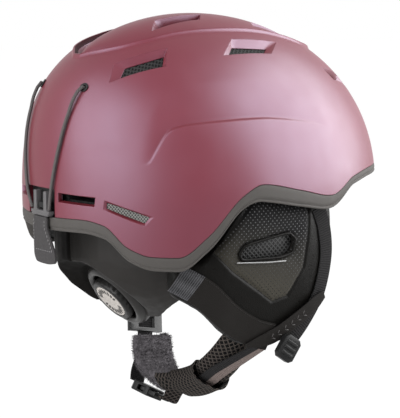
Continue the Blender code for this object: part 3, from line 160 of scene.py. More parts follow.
def smooth_path(points: Sequence[Sequence[float]], count: int) -> list[Vector]:
    """Evenly numbered points on a smooth curve through points in millimetres.

    Args:
        points: Places that the curve passes.
        count: How many points to give.

    Returns:
        The points in metres.
    """
    last = len(points) - 1
    path = []
    for i in range(count):
        at = last * i / (count - 1)
        path.append(Vector([eased([(k, p[axis]) for k, p in enumerate(points)], at)
                            for axis in range(len(points[0]))]) * MM)
    return path


class Graph:
    """Node tree of a material or a world, with short calls for the nodes that the finishes use."""

    def __init__(self, owner: bpy.types.Material | bpy.types.World, shader: str = "Principled BSDF") -> None:
        """Takes up the owner's tree and the node that shades it."""
        owner.use_nodes = True
        self.owner = owner
        self.tree = owner.node_tree
        self.shader = self.tree.nodes[shader]

    def feed(self, target: Socket, value: object) -> None:
        """Feeds an input with a socket, a number, a direction or a colour."""
        if isinstance(value, Socket):
            self.tree.links.new(value, target)
        else:
            target.default_value = (*value, 1) if target.type == "RGBA" else value

    def set(self, name: str, value: object) -> None:
        """Feeds one input of the shader."""
        self.feed(self.shader.inputs[name], value)

    def node(self, kind: str, inputs: dict | None = None, **settings: object) -> bpy.types.Node:
        """Adds a node.

        Args:
            kind: Blender's name of the node.
            inputs: What feeds its inputs, by input name or place.
            settings: The node's own settings.

        Returns:
            The node.
        """
        made = self.tree.nodes.new(kind)
        for key, value in settings.items():
            setattr(made, key, value)
        for key, value in (inputs or {}).items():
            self.feed(made.inputs[key], value)
        return made

    def place(self) -> Socket:
        """Object coordinates."""
        return self.node("ShaderNodeTexCoord").outputs["Object"]

    def weave(self) -> Socket:
        """The piece's own map, in metres along and across it."""
        return self.node("ShaderNodeUVMap", uv_map="weave").outputs["UV"]

    def noise(self, scale: float, detail: float) -> Socket:
        """Cloudy pattern of a scale per metre."""
        inputs = {"Vector": self.place(), "Scale": scale, "Detail": detail}
        return self.node("ShaderNodeTexNoise", inputs).outputs["Fac"]

    def creases(self, scale: float, width: float) -> Socket:
        """Cells of a scale per metre: 0 on the lines between them, 1 past a width."""
        inputs = {"Vector": self.place(), "Scale": scale}
        cells = self.node("ShaderNodeTexVoronoi", inputs, feature="DISTANCE_TO_EDGE")
        return self.range(cells.outputs["Distance"], 0.0, width, 0.0, 1.0)

    def math(self, operation: str, a: object, b: object = 0.0) -> Socket:
        """Result of an operation on two values, sockets or numbers."""
        return self.node("ShaderNodeMath", {0: a, 1: b}, operation=operation).outputs[0]

    def dot(self, a: Socket, b: object) -> Socket:
        """How far one direction goes along another."""
        return self.node("ShaderNodeVectorMath", {0: a, 1: b}, operation="DOT_PRODUCT").outputs["Value"]

    def stripe(self, direction: Colour, pitch: float, source: Socket | None = None) -> Socket:
        """Wave from 0 to 1 along a direction.

        Args:
            direction: Direction in the source's coordinates.
            pitch: Length of one wave.
            source: Coordinates, or the object's when left out.

        Returns:
            The wave.
        """
        size = math.sqrt(sum(d * d for d in direction))
        unit = tuple(2 * math.pi * d / size / pitch for d in direction)
        return self.range(self.math("SINE", self.dot(source or self.place(), unit)), -1, 1, 0, 1)

    def range(self, value: Socket, low: float, high: float, out_low: float, out_high: float) -> Socket:
        """Value carried from one range to another, kept inside it."""
        inputs = {"Value": value, "From Min": low, "From Max": high, "To Min": out_low, "To Max": out_high}
        return self.node("ShaderNodeMapRange", inputs).outputs["Result"]

    def mix(self, share: Socket, a: object, b: object) -> Socket:
        """Colour between two others."""
        return self.node("ShaderNodeMix", {0: share, 6: a, 7: b}, data_type="RGBA").outputs[2]

    def rounded(self, radius: float) -> Socket:
        """Direction of a surface whose edges are eased by a radius."""
        return self.node("ShaderNodeBevel", {"Radius": radius}, samples=6).outputs["Normal"]

    def bump(self, height: Socket, depth: float, normal: Socket | None = None) -> Socket:
        """Surface direction with a relief of a depth in metres."""
        inputs = {"Height": height, "Strength": 1.0, "Distance": depth}
        if normal is not None:
            inputs["Normal"] = normal
        return self.node("ShaderNodeBump", inputs).outputs["Normal"]


@dataclass(frozen=True)
class Finish:
    """A surface finish: its colours, its gloss and the record slot that it stands for."""

    name: str
    slot: str
    colour: Colour
    second: Colour
    roughness: float = 0.5
    specular: float = 0.5

    def dress(self, g: Graph) -> None:
        """Adds the finish's own nodes."""
        raise NotImplementedError

    def material(self) -> bpy.types.Material:
        """The material, made once."""
        found = bpy.data.materials.get(self.name)
        if found:
            return found
        g = Graph(bpy.data.materials.new(self.name))
        g.set("Roughness", self.roughness)
        g.set("Specular IOR Level", self.specular)
        self.dress(g)
        return g.owner

    def vary_gloss(self, g: Graph, scale: float, detail: float, by: float) -> None:
        """Makes the roughness cloudy, by as much either way."""
        cloud = g.noise(scale, detail)
        g.set("Roughness", g.range(cloud, 0.3, 0.7, self.roughness - by, self.roughness + by))


@dataclass(frozen=True)
class SatinPaint(Finish):
    """Pearl paint on a moulded shell, satin, with a violet bloom in its gloss."""

    bloom: Colour = (0.75, 0.755, 1.0)
    edge: float = 0.7 * MM

    def dress(self, g: Graph) -> None:
        """Cloudy depth of colour, fine orange peel and eased edges."""
        g.set("Base Color", g.mix(g.noise(18, 3), self.colour, self.second))
        self.vary_gloss(g, 60, 5, 0.03)
        g.set("Specular Tint", self.bloom)
        g.set("Normal", g.bump(g.noise(1400, 2), 0.006 * MM, g.rounded(self.edge)))


@dataclass(frozen=True)
class Moulded(Finish):
    """Moulded plastic or rubber with a fine grain, and edges lightened partly as rub wear and partly as a
    painted highlight.
    """

    grain: float = 1500.0
    relief: float = 0.03 * MM
    edge: float = 0.5 * MM
    rub: float = 1.7

    def dress(self, g: Graph) -> None:
        """Mottled colour, edges lightened as wear and painted highlight, and a fine grain."""
        eased_normal = g.rounded(self.edge)
        plain = g.node("ShaderNodeNewGeometry").outputs["Normal"]
        # Edges are painted lighter: partly rub wear, partly a painted highlight; large factors are painted
        # glints.
        wear_and_glint_share = g.range(g.dot(eased_normal, plain), 0.8, 1.0, 0.55, 0.0)
        cloudy = g.mix(g.noise(90, 4), self.colour, self.second)
        light = tuple(min(1.0, self.rub * c + 0.004) for c in self.second)
        g.set("Base Color", g.mix(wear_and_glint_share, cloudy, light))
        self.vary_gloss(g, 240, 3, 0.06)
        g.set("Normal", g.bump(g.noise(self.grain, 2), self.relief, eased_normal))


@dataclass(frozen=True)
class Beads(Finish):
    """Moulded bead foam."""

    def dress(self, g: Graph) -> None:
        """Cells of beads with darker joints."""
        edge = g.creases(260, 0.12)
        g.set("Base Color", g.mix(edge, self.second, self.colour))
        g.set("Normal", g.bump(edge, 0.25 * MM))


@dataclass(frozen=True)
class Net(Finish):
    """Open net seen as threads over dark holes."""

    first: Colour = (1.0, 1.0, 0.0)
    other: Colour = (1.0, -1.0, 0.0)
    pitch: float = 2.2 * MM

    def dress(self, g: Graph) -> None:
        """Two families of threads."""
        threads = g.math("MAXIMUM", g.stripe(self.first, self.pitch), g.stripe(self.other, self.pitch))
        share = g.range(threads, 0.55, 0.85, 0.0, 1.0)
        g.set("Base Color", g.mix(share, self.second, self.colour))
        g.set("Normal", g.bump(share, 0.4 * MM))


@dataclass(frozen=True)
class Grained(Finish):
    """Leather-like skin."""

    scale: float = 900.0

    def dress(self, g: Graph) -> None:
        """Creased grain with worn crowns."""
        grain = g.creases(self.scale, 0.25)
        tone = g.mix(g.noise(160, 4), self.colour, self.second)
        g.set("Base Color", g.mix(g.range(grain, 0, 1, 0.0, 0.5), self.colour, tone))
        self.vary_gloss(g, 300, 3, 0.08)
        g.set("Normal", g.bump(grain, 0.05 * MM))


@dataclass(frozen=True)
class Perforated(Finish):
    """Backed fabric with rows of small holes, the upper ones painted light as glints."""

    pitch: float = 2.6 * MM
    hole: Colour = (0.085, 0.085, 0.087)
    fall: Colour = (0.0, 0.35, -1.0)

    def dress(self, g: Graph) -> None:
        """Holes on a slanted square grid over a fine knit, paler toward the foot; the holes carry painted
        glints that fade out toward the foot.
        """
        dots = g.math("MULTIPLY", g.stripe((0, 1, 1), self.pitch), g.stripe((0, 1, -1), self.pitch))
        hole = g.range(dots, 0.68, 0.84, 0.0, 1.0)
        knit = g.math("MULTIPLY", g.stripe((0, 1, 0.2), 0.9 * MM), g.stripe((0, -0.2, 1), 0.7 * MM))
        ragged = g.range(g.noise(40, 3), 0, 1, -0.01, 0.01)
        low = g.range(g.math("ADD", g.dot(g.place(), self.fall), ragged), 0.015, 0.06, 0.0, 1.0)
        tone = g.mix(low, self.colour, self.second)
        # Holes are painted light near the top: painted highlights, dark again toward the foot.
        g.set("Base Color", g.mix(hole, tone, g.mix(low, self.hole, self.colour)))
        height = g.math("SUBTRACT", g.math("MULTIPLY", knit, 0.25), hole)
        g.set("Normal", g.bump(height, 0.45 * MM))
        g.set("Sheen Weight", 0.02)


@dataclass(frozen=True)
class Woven(Finish):
    """Webbing: ribs across, warp rows along, and a denser selvedge."""

    rib: float = 1.7 * MM
    warp: float = 1.1 * MM
    relief: float = 0.3 * MM

    def dress(self, g: Graph) -> None:
        """Ribs and rows on the band's own map."""
        band = g.weave()
        ribs = g.stripe((1, 0, 0), self.rib, band)
        rows = g.stripe((0, 1, 0), self.warp, band)
        height = g.math("ADD", g.math("MULTIPLY", ribs, 0.7), g.math("MULTIPLY", rows, 0.3))
        tone = g.mix(height, self.colour, self.second)
        fuzz = g.noise(900, 3)
        g.set("Base Color", g.mix(g.range(fuzz, 0.35, 0.75, 0.0, 0.5), tone, self.second))
        g.set("Normal", g.bump(height, self.relief))
        g.set("Sheen Weight", 0.01)


@dataclass(frozen=True)
class Knit(Finish):
    """Stretch mesh with diamond holes."""

    pitch: float = 3.3 * MM

    def dress(self, g: Graph) -> None:
        """Diamond threads on the band's own map."""
        band = g.weave()
        rising, falling = (g.stripe((1, lean, 0), self.pitch, band) for lean in (1, -1))
        threads = g.math("MAXIMUM", rising, falling)
        share = g.range(threads, 0.72, 0.93, 0.0, 1.0)
        g.set("Base Color", g.mix(share, self.second, self.colour))
        g.set("Normal", g.bump(share, 0.5 * MM))
        g.set("Sheen Weight", 0.02)


@dataclass(frozen=True)
class Pile(Finish):
    """Fleece: matted tufts of fine fibre."""

    def dress(self, g: Graph) -> None:
        """Tufts in two tones."""
        tufts = g.noise(420, 6)
        g.set("Base Color", g.mix(g.range(tufts, 0.35, 0.7, 0.0, 1.0), self.colour, self.second))
        g.set("Normal", g.bump(tufts, 0.9 * MM))
        g.set("Sheen Weight", 0.08)


@dataclass(frozen=True)
class Braid(Finish):
    """Braided cover of an elastic cord."""

    pitch: float = 1.3 * MM

    def dress(self, g: Graph) -> None:
        """Strands that cross on the cord's own map."""
        cord = g.weave()
        rising, falling = (g.stripe((1, lean, 0), self.pitch, cord) for lean in (0.8, -0.8))
        strands = g.math("MAXIMUM", rising, falling)
        g.set("Base Color", g.mix(strands, self.colour, self.second))
        g.set("Normal", g.bump(strands, 0.2 * MM))


# Darker paint for the crown channel's far wall: painted shade.
CHANNEL_SHADE = SatinPaint("shell_groove_paint", "shell_burgundy", (0.014, 0.0022, 0.003), (0.020, 0.003, 0.004),
                    roughness=0.6, specular=0.08)
PAINT = SatinPaint("shell_burgundy_paint", "shell_burgundy", (0.068, 0.0050, 0.0078), (0.080, 0.0064, 0.0096),
                   roughness=0.44, specular=0.62)
TRIM = Moulded("trim_taupe_rubber", "trim_taupe", (0.034, 0.0315, 0.0295), (0.042, 0.039, 0.0365),
               roughness=0.6, specular=0.10)
FOAM = Beads("liner_foam", "foam_black", grey(0.016), grey(0.005), roughness=0.8, specular=0.1)
DARK_SCREEN = Net("vent_net_dark", "mesh_grey", grey(0.020), grey(0.003), roughness=0.6, specular=0.08)
SCREEN = Net("vent_net", "mesh_grey", (0.115, 0.115, 0.108), grey(0.020), roughness=0.6, specular=0.1,
             first=(1, 0.6, 1), other=(1, 0.6, -1), pitch=1.6 * MM)
WINDOW = Net("ear_net", "mesh_grey", grey(0.026), grey(0.002), roughness=0.4, specular=0.1,
             first=(0, 1, 1), other=(0, 1, -1), pitch=2.6 * MM)
PLASTIC = Moulded("moulded_black", "plastic_black", (0.006, 0.006, 0.0062), grey(0.010),
                  roughness=0.36, specular=0.10)
GREY_PLASTIC = Moulded("moulded_grey", "plastic_black", (0.042, 0.040, 0.041), (0.058, 0.055, 0.057),
                       roughness=0.42, specular=0.2)
CRADLE = Moulded("cradle_soft_touch", "cradle_grey", (0.0092, 0.0084, 0.0078), (0.0135, 0.0124, 0.0116),
                 roughness=0.48, specular=0.10)
COLLAR = Moulded("collar_satin", "cradle_grey", (0.0085, 0.0079, 0.0074), (0.0125, 0.0116, 0.0109),
                 roughness=0.36, specular=0.22)
# Darker finish for the cradle beyond its crest: painted shade.
CRADLE_SHADE = Moulded("cradle_recess", "cradle_grey", (0.0036, 0.0033, 0.0031), (0.0058, 0.0053, 0.0049),
                 roughness=0.6, specular=0.02)
# Knurl edges painted light: painted highlights on the knob's ribs.
KNOB = Moulded("knob_black", "plastic_black", (0.006, 0.0058, 0.0056), (0.010, 0.0097, 0.0094),
               roughness=0.38, specular=0.16, rub=12.0)
# Glide edges painted light: painted glints.
GLIDE = Moulded("glide_black", "plastic_black", (0.0042, 0.0042, 0.0043), (0.007, 0.007, 0.0072),
                roughness=0.26, specular=0.18, edge=0.25 * MM, rub=16.0)
IVORY = Moulded("dial_ivory", "cap_ivory", (0.235, 0.218, 0.202), (0.28, 0.262, 0.243),
                roughness=0.5, specular=0.12, grain=900, relief=0.01 * MM)
STEEL = Moulded("screw_steel", "steel", grey(0.45), grey(0.55), roughness=0.3, specular=0.5)
LEATHER = Grained("tab_leather", "leather_grey", (0.027, 0.0255, 0.026), (0.042, 0.040, 0.041),
                  roughness=0.6, specular=0.06)
BINDING = Grained("ear_leatherette", "pad_black", (0.0034, 0.0032, 0.0029), (0.0062, 0.0058, 0.0052),
                  roughness=0.34, specular=0.05, scale=700)
PANEL = Perforated("ear_perforated", "pad_black", (0.006, 0.006, 0.0062), (0.024, 0.022, 0.0175),
                   roughness=0.5, specular=0.03)
LINING = Pile("pad_lining", "pad_black", (0.007, 0.007, 0.0075), (0.016, 0.0155, 0.0155),
              roughness=0.9, specular=0.0)
WEBBING = Woven("webbing_woven", "webbing_black", (0.0055, 0.0055, 0.0057), (0.017, 0.0165, 0.0168),
                roughness=0.6, specular=0.0)
SMOOTH_BAND = Woven("band_black", "webbing_black", (0.0060, 0.0054, 0.0050), (0.0100, 0.0092, 0.0086),
                    roughness=0.5, specular=0.02, rib=0.9 * MM, warp=0.7 * MM, relief=0.08 * MM)
BROWN_WEBBING = Woven("webbing_brown_woven", "webbing_brown", (0.062, 0.049, 0.045), (0.105, 0.085, 0.079),
                      roughness=0.75, specular=0.0)
SLEEVE = Knit("sleeve_knit", "fleece_grey", (0.036, 0.0305, 0.027), grey(0.0035), roughness=0.8, specular=0.0)
RIBBED = Woven("band_ribbed", "webbing_black", (0.003, 0.003, 0.0033), (0.050, 0.050, 0.053),
               roughness=0.45, specular=0.0, rib=1.5 * MM, warp=9 * MM)
# Light grey for the bead under the ear window: a painted highlight.
HIGHLIGHT_BEAD = Moulded("window_piping", "pad_black", grey(0.11), grey(0.20), roughness=0.3, specular=0.3)
MARKS = Moulded("printed_marks", "plastic_black", (0.025, 0.024, 0.023), (0.040, 0.038, 0.037),
                roughness=0.5, specular=0.1)
FLEECE = Pile("chin_fleece", "fleece_grey", (0.046, 0.0425, 0.046), (0.100, 0.093, 0.100),
              roughness=0.95, specular=0.0)
CORD = Braid("cord_braid", "cord_grey", (0.028, 0.025, 0.025), (0.062, 0.057, 0.057),
             roughness=0.7, specular=0.06)
THREAD = Braid("stitch_thread", "leather_grey", (0.07, 0.068, 0.069), (0.13, 0.126, 0.128),
               roughness=0.7, specular=0.0)
DARK_THREAD = Braid("seam_thread", "webbing_black", (0.012, 0.0115, 0.011), (0.030, 0.029, 0.028),
                    roughness=0.6, specular=0.0)


class Bench:
    """Shared hand tools: applying, skinning, carrying a CAD solid over and handing a piece to its body."""

    @staticmethod
    def activate(item: Piece) -> None:
        """Makes one object the only one selected and the active one."""
        bpy.ops.object.select_all(action="DESELECT")
        item.select_set(True)
        bpy.context.view_layer.objects.active = item

    @staticmethod
    def apply(item: Piece, kind: str, **settings: object) -> None:
        """Adds a modifier with its settings and applies it."""
        Bench.activate(item)
        step = item.modifiers.new(kind.lower(), kind)
        for key, value in settings.items():
            setattr(step, key, value)
        bpy.ops.object.modifier_apply(modifier=step.name)

    @staticmethod
    def edit(item: Piece, *steps: Callable[[], object]) -> None:
        """Runs edit-mode steps on the whole of an object."""
        Bench.activate(item)
        bpy.ops.object.mode_set(mode="EDIT")
        bpy.ops.mesh.select_all(action="SELECT")
        for step in steps:
            step()
        bpy.ops.object.mode_set(mode="OBJECT")

    @staticmethod
    def smooth(item: Piece, degrees: float) -> None:
        """Smooth shading with edges sharper than an angle kept."""
        Bench.activate(item)
        bpy.ops.object.shade_smooth_by_angle(angle=math.radians(degrees))

    @staticmethod
    def tidy(item: Piece, reach: float = 1e-6) -> None:
        """Merges doubles and turns the faces out."""
        Bench.edit(item, lambda: bpy.ops.mesh.remove_doubles(threshold=reach),
                   lambda: bpy.ops.mesh.normals_make_consistent(inside=False))

    @staticmethod
    def add(name: str, data: bpy.types.ID) -> Piece:
        """Object of a mesh, a lamp or a camera, put into the scene."""
        item = bpy.data.objects.new(name, data)
        bpy.context.scene.collection.objects.link(item)
        return item

    @staticmethod
    def from_mesh(name: str, bm: bmesh.types.BMesh) -> Piece:
        """Object of a mesh made in code."""
        mesh = bpy.data.meshes.new(name)
        bm.to_mesh(mesh)
        bm.free()
        return Bench.add(name, mesh)

    @staticmethod
    def join(item: Piece, other: Piece) -> None:
        """Joins another object into one."""
        Bench.activate(item)
        other.select_set(True)
        bpy.ops.object.join()

    @staticmethod
    def skin(name: str, rings: Sequence[Ring], across: Sequence[float], closed: bool = False) -> Piece:
        """Skin over sections, with a map in metres along and across.

        Args:
            name: The object's name.
            rings: Closed sections along the piece.
            across: Place across of each point of a section, and of the first again where the map wraps.
            closed: Whether the last section meets the first.

        Returns:
            The object.
        """
        bm = bmesh.new()
        chart = bm.loops.layers.uv.new("weave")
        rows = [[bm.verts.new(p) for p in ring] for ring in rings]
        count = len(rings[0])
        wrap = list(across) + ([across[0]] if len(across) == count else [])
        along = [0.0]
        ends = list(rings) + ([rings[0]] if closed else [])
        for a, b in zip(ends, ends[1:]):
            along.append(along[-1] + sum((q - p).length for p, q in zip(a, b)) / count)
        loops = rows + ([rows[0]] if closed else [])
        for i, (a, b) in enumerate(zip(loops, loops[1:])):
            for j in range(count):
                k = (j + 1) % count
                face = bm.faces.new((a[j], a[k], b[k], b[j]))
                near, far = along[i], along[i + 1]
                spots = ((near, wrap[j]), (near, wrap[j + 1]), (far, wrap[j + 1]), (far, wrap[j]))
                for corner, spot in zip(face.loops, spots):
                    corner[chart].uv = spot
        if not closed:
            for row, place in ((rows[0][::-1], along[0]), (rows[-1], along[-1])):
                face = bm.faces.new(row)
                for corner in face.loops:
                    corner[chart].uv = (place, 0.0)
        bmesh.ops.recalc_face_normals(bm, faces=bm.faces)
        return Bench.from_mesh(name, bm)

    @staticmethod
    def tube(name: str, path: Sequence[Vector], radius: float, sides: int, lap: float,
             closed: bool = False) -> Piece:
        """Round skin along a path that never runs straight sideways.

        Args:
            name: The object's name.
            path: Its middle line.
            radius: Its radius.
            sides: Facets round it.
            lap: Width of one facet on the map.
            closed: Whether the path meets its start again.

        Returns:
            The tube.
        """
        rings = []
        for i, p in enumerate(path):
            run = path[(i + 1) % len(path)] - path[i - 1] if closed else heading(path, i)
            along = run.normalized()
            side = along.cross(Vector((1, 0, 0))).normalized()
            up = along.cross(side)
            rings.append([p + (side * math.cos(a) + up * math.sin(a)) * radius for a in circle(sides)])
        item = Bench.skin(name, rings, [lap * j for j in range(sides + 1)], closed)
        Bench.smooth(item, 60)
        return item

    @staticmethod
    def copy_node(node: str, name: str) -> Piece:
        """Merged copy of a CAD solid."""
        item = Bench.add(name, frame["nodes"][node].data.copy())
        Bench.activate(item)
        bpy.ops.mesh.customdata_custom_splitnormals_clear()
        Bench.edit(item, lambda: bpy.ops.mesh.remove_doubles(threshold=2e-6),
                   lambda: bpy.ops.mesh.tris_convert_to_quads(face_threshold=0.05, shape_threshold=0.8))
        return item

    @staticmethod
    def coat(item: Piece, *finishes: Finish) -> None:
        """Adds finishes to a piece's list, for its faces to choose from."""
        for finish in finishes:
            item.data.materials.append(finish.material())

    @staticmethod
    def dress(item: Piece, *finishes: Finish) -> None:
        """Gives a piece a list of finishes of its own, which it keeps when it is handed over."""
        item["dressed"] = 1
        item.data.materials.clear()
        Bench.coat(item, *finishes)

    @staticmethod
    def give(item: Piece, finish: Finish, *nodes: str, body: str = "") -> Piece:
        """Hands a piece its finish, its body and the CAD nodes that it stands for.

        Args:
            item: The piece.
            finish: Its finish, unless it has some already.
            nodes: CAD nodes that it replaces.
            body: The body that it rides on, or that of its first node.

        Returns:
            The piece.
        """
        if not item.data.materials or item.data.materials[0] is None or nodes and "dressed" not in item:
            item.data.materials.clear()
            Bench.coat(item, finish)
        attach(item, body or frame["nodes"][nodes[0]]["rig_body"])
        if nodes:
            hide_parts(*nodes)
        LOG.info("%s: %d faces, %s", item.name, len(item.data.polygons), finish.name)
        return item

    @staticmethod
    def carry(node: str, finish: Finish, bevel: float = 0.0, degrees: float = 35.0,
              segments: int = 2) -> Piece:
        """Carries a CAD solid over with eased edges and a finish.

        Args:
            node: The CAD node.
            finish: Its finish.
            bevel: Radius of its edges.
            degrees: Angle past which an edge stays sharp.
            segments: Facets of each eased edge.

        Returns:
            The piece.
        """
        item = Bench.copy_node(node, f"{node}_dressed")
        if bevel:
            Bench.apply(item, "BEVEL", width=bevel, segments=segments, limit_method="ANGLE",
                        angle_limit=math.radians(32), harden_normals=False)
        Bench.smooth(item, degrees)
        return Bench.give(item, finish, node)

    @staticmethod
    def subtract(target: Piece, tool: Piece) -> None:
        """Takes a tool away from a body, and removes the tool."""
        Bench.apply(target, "BOOLEAN", operation="DIFFERENCE", object=tool, solver="EXACT")
        bpy.data.objects.remove(tool, do_unlink=True)

    @staticmethod
    def swell(item: Piece, voxel: float, pressure: float, cap: float, steps: int = 14) -> None:
        """Swells a padded cover by a cloth simulation, with each point's travel capped.

        Args:
            item: The cover.
            voxel: Size of its facets while it swells.
            pressure: Air pressure inside.
            cap: Longest travel of a point.
            steps: Length of the simulation in frames.
        """
        Bench.apply(item, "REMESH", mode="VOXEL", voxel_size=voxel)
        start = Bench.points(item)
        cloth = item.modifiers.new("cloth", "CLOTH")
        cloth.settings.use_pressure = True
        cloth.settings.uniform_pressure_force = pressure
        cloth.settings.effector_weights.gravity = 0.0
        cloth.settings.quality = 4
        cloth.settings.tension_stiffness = 12
        cloth.settings.compression_stiffness = 12
        cloth.point_cache.frame_end = steps
        for k in range(1, steps + 1):
            bpy.context.scene.frame_set(k)
        shown = item.evaluated_get(bpy.context.evaluated_depsgraph_get()).to_mesh()
        swollen = np.empty(len(shown.vertices) * 3)
        shown.vertices.foreach_get("co", swollen)
        move = swollen.reshape(-1, 3) - start
        reach = np.linalg.norm(move, axis=1, keepdims=True)
        move *= np.minimum(1.0, cap / np.maximum(reach, 1e-9))
        Bench.activate(item)
        item.modifiers.remove(cloth)
        bpy.context.scene.frame_set(1)
        Bench.put(item, start + move)
        Bench.apply(item, "SMOOTH", factor=0.5, iterations=3)
        Bench.apply(item, "SUBSURF", levels=1, render_levels=1)

    @staticmethod
    def studs(name: str, places: Sequence[Matrix], finish: Finish, body: str) -> Piece:
        """Small rounded marks such as stitches, one at each place.

        Args:
            name: The object's name.
            places: Where each mark lies, with its half sizes.
            finish: Their finish.
            body: The body that they ride on.

        Returns:
            The marks.
        """
        bm = bmesh.new()
        bm.loops.layers.uv.new("weave")
        for place in places:
            bmesh.ops.create_icosphere(bm, subdivisions=1, radius=1.0, matrix=place)
        item = Bench.from_mesh(name, bm)
        Bench.smooth(item, 80)
        return Bench.give(item, finish, body=body)

    @staticmethod
    def points(item: Piece) -> np.ndarray:
        """Places of an object's vertices."""
        co = np.empty(len(item.data.vertices) * 3)
        item.data.vertices.foreach_get("co", co)
        return co.reshape(-1, 3)

    @staticmethod
    def put(item: Piece, places: np.ndarray) -> None:
        """Moves an object's vertices to places."""
        item.data.vertices.foreach_set("co", places.astype(np.float32).ravel())
        item.data.update()


@dataclass(frozen=True)
class Dome:
    """Outer form of the shell, shared by all that lies on it or in it."""

    half_width: float = 110 * MM
    front_reach: float = 149 * MM
    rear_reach: float = 124 * MM
    crown: float = 128 * MM
    side_curve: float = 1.8
    front_curve: float = 2.2
    rear_curve: float = 3.15
    plan_curve: float = 2.08
    side_tuck: float = 0.03
    rear_tuck: float = 0.05
    tuck_depth: float = 60 * MM
    rim_edge: tuple = ((0, -12), (22, -11), (31, -14), (40, -29), (48, -34.5), (57, -35), (67, -21), (79, 6),
                       (86, 13), (98, 7), (110, 1), (122, 12), (135, 15.5), (180, 17))
    trim_height: tuple = ((0, 9.5), (30, 9.5), (57, 10), (70, 10.5), (79, 9), (88, 12.5), (105, 10.5),
                          (113, 8.5), (122, 6), (180, 6.5))

    def reaches(self, z: float, inset: float) -> tuple[float, float, float]:
        """Half width, front reach and rear reach at a height, set in from the outside."""
        up = min(max(z / (self.crown - inset), 0.0), 1.0)
        low = min(z, 0.0) / self.tuck_depth
        side = (self.half_width - inset) * (math.sqrt(1 - up ** self.side_curve) - self.side_tuck * low * low)
        front = (self.front_reach - inset) * math.sqrt(1 - up ** self.front_curve)
        rear = (self.rear_reach - inset) * (math.sqrt(1 - up ** self.rear_curve) - self.rear_tuck * low * low)
        return side, front, rear

    def at(self, turn: float, z: float, inset: float = 0.0) -> Vector:
        """Point by degrees round from the rear centre, left positive, and height."""
        side, front, rear = self.reaches(z, inset)
        c, s = math.cos(math.radians(turn)), math.sin(math.radians(turn))
        power = 2 / self.plan_curve
        return Vector((side * math.copysign(abs(s) ** power, s),
                       (rear if c > 0 else front) * math.copysign(abs(c) ** power, c), z))

    def side(self, y: float, z: float, inset: float) -> float:
        """Half width at a place along the length and a height."""
        side, front, rear = self.reaches(z, inset)
        share = min(abs(y) / (rear if y > 0 else front), 1.0)
        return side * (1 - share ** self.plan_curve) ** (1 / self.plan_curve)

    def rear(self, x: float, z: float, inset: float = 0.0) -> Vector:
        """Point on the back at a sideways place and a height."""
        side, _, rear = self.reaches(z, inset)
        return Vector((x, rear * (1 - (abs(x) / side) ** self.plan_curve) ** (1 / self.plan_curve), z))

    def excess(self, point: Vector, inset: float = 0.0) -> float:
        """Below zero inside the dome, above zero outside it."""
        if point.z >= self.crown - inset:
            return 1.0
        side, front, rear = self.reaches(point.z, inset)
        return ((abs(point.x) / side) ** self.plan_curve
                + (abs(point.y) / (rear if point.y > 0 else front)) ** self.plan_curve - 1)

    @staticmethod
    def halved(test: Callable[[float], float], low: float, high: float) -> float:
        """Place between two others where a rising test passes zero."""
        for _ in range(40):
            middle = (low + high) / 2
            if test(middle) > 0:
                high = middle
            else:
                low = middle
        return (low + high) / 2

    def over(self, x: float, y: float, inset: float = 0.0) -> Vector:
        """Point above a place in plan."""
        height = self.halved(lambda z: self.excess(Vector((x, y, z)), inset), 0.0, self.crown - inset)
        return Vector((x, y, height))

    def nearest(self, point: Vector) -> Vector:
        """Point moved along its line from the origin on to the dome."""
        return point * self.halved(lambda scale: self.excess(point * scale), 0.2, 3.0)

    def normal(self, point: Vector) -> Vector:
        """Outward direction near a point."""
        step = 0.2 * MM
        slope = Vector((0, 0, 0))
        for axis in range(3):
            nudge = Vector((0, 0, 0))
            nudge[axis] = step
            slope[axis] = self.excess(point + nudge) - self.excess(point - nudge)
        return slope.normalized()

    def rim(self, turn: float) -> float:
        """Height of the shell's edge."""
        return eased(self.rim_edge, abs(turn)) * MM

    def trim_low(self, turn: float) -> float:
        """Height of the trim's lower edge."""
        return self.rim(turn) - eased(self.trim_height, abs(turn)) * MM

    def turn_at(self, y: float, inset: float) -> float:
        """Degrees round from the rear centre at a place along the length."""
        return self.halved(lambda turn: y - self.at(turn, 0.0, inset).y, 0.0, 180.0)


DOME = Dome()


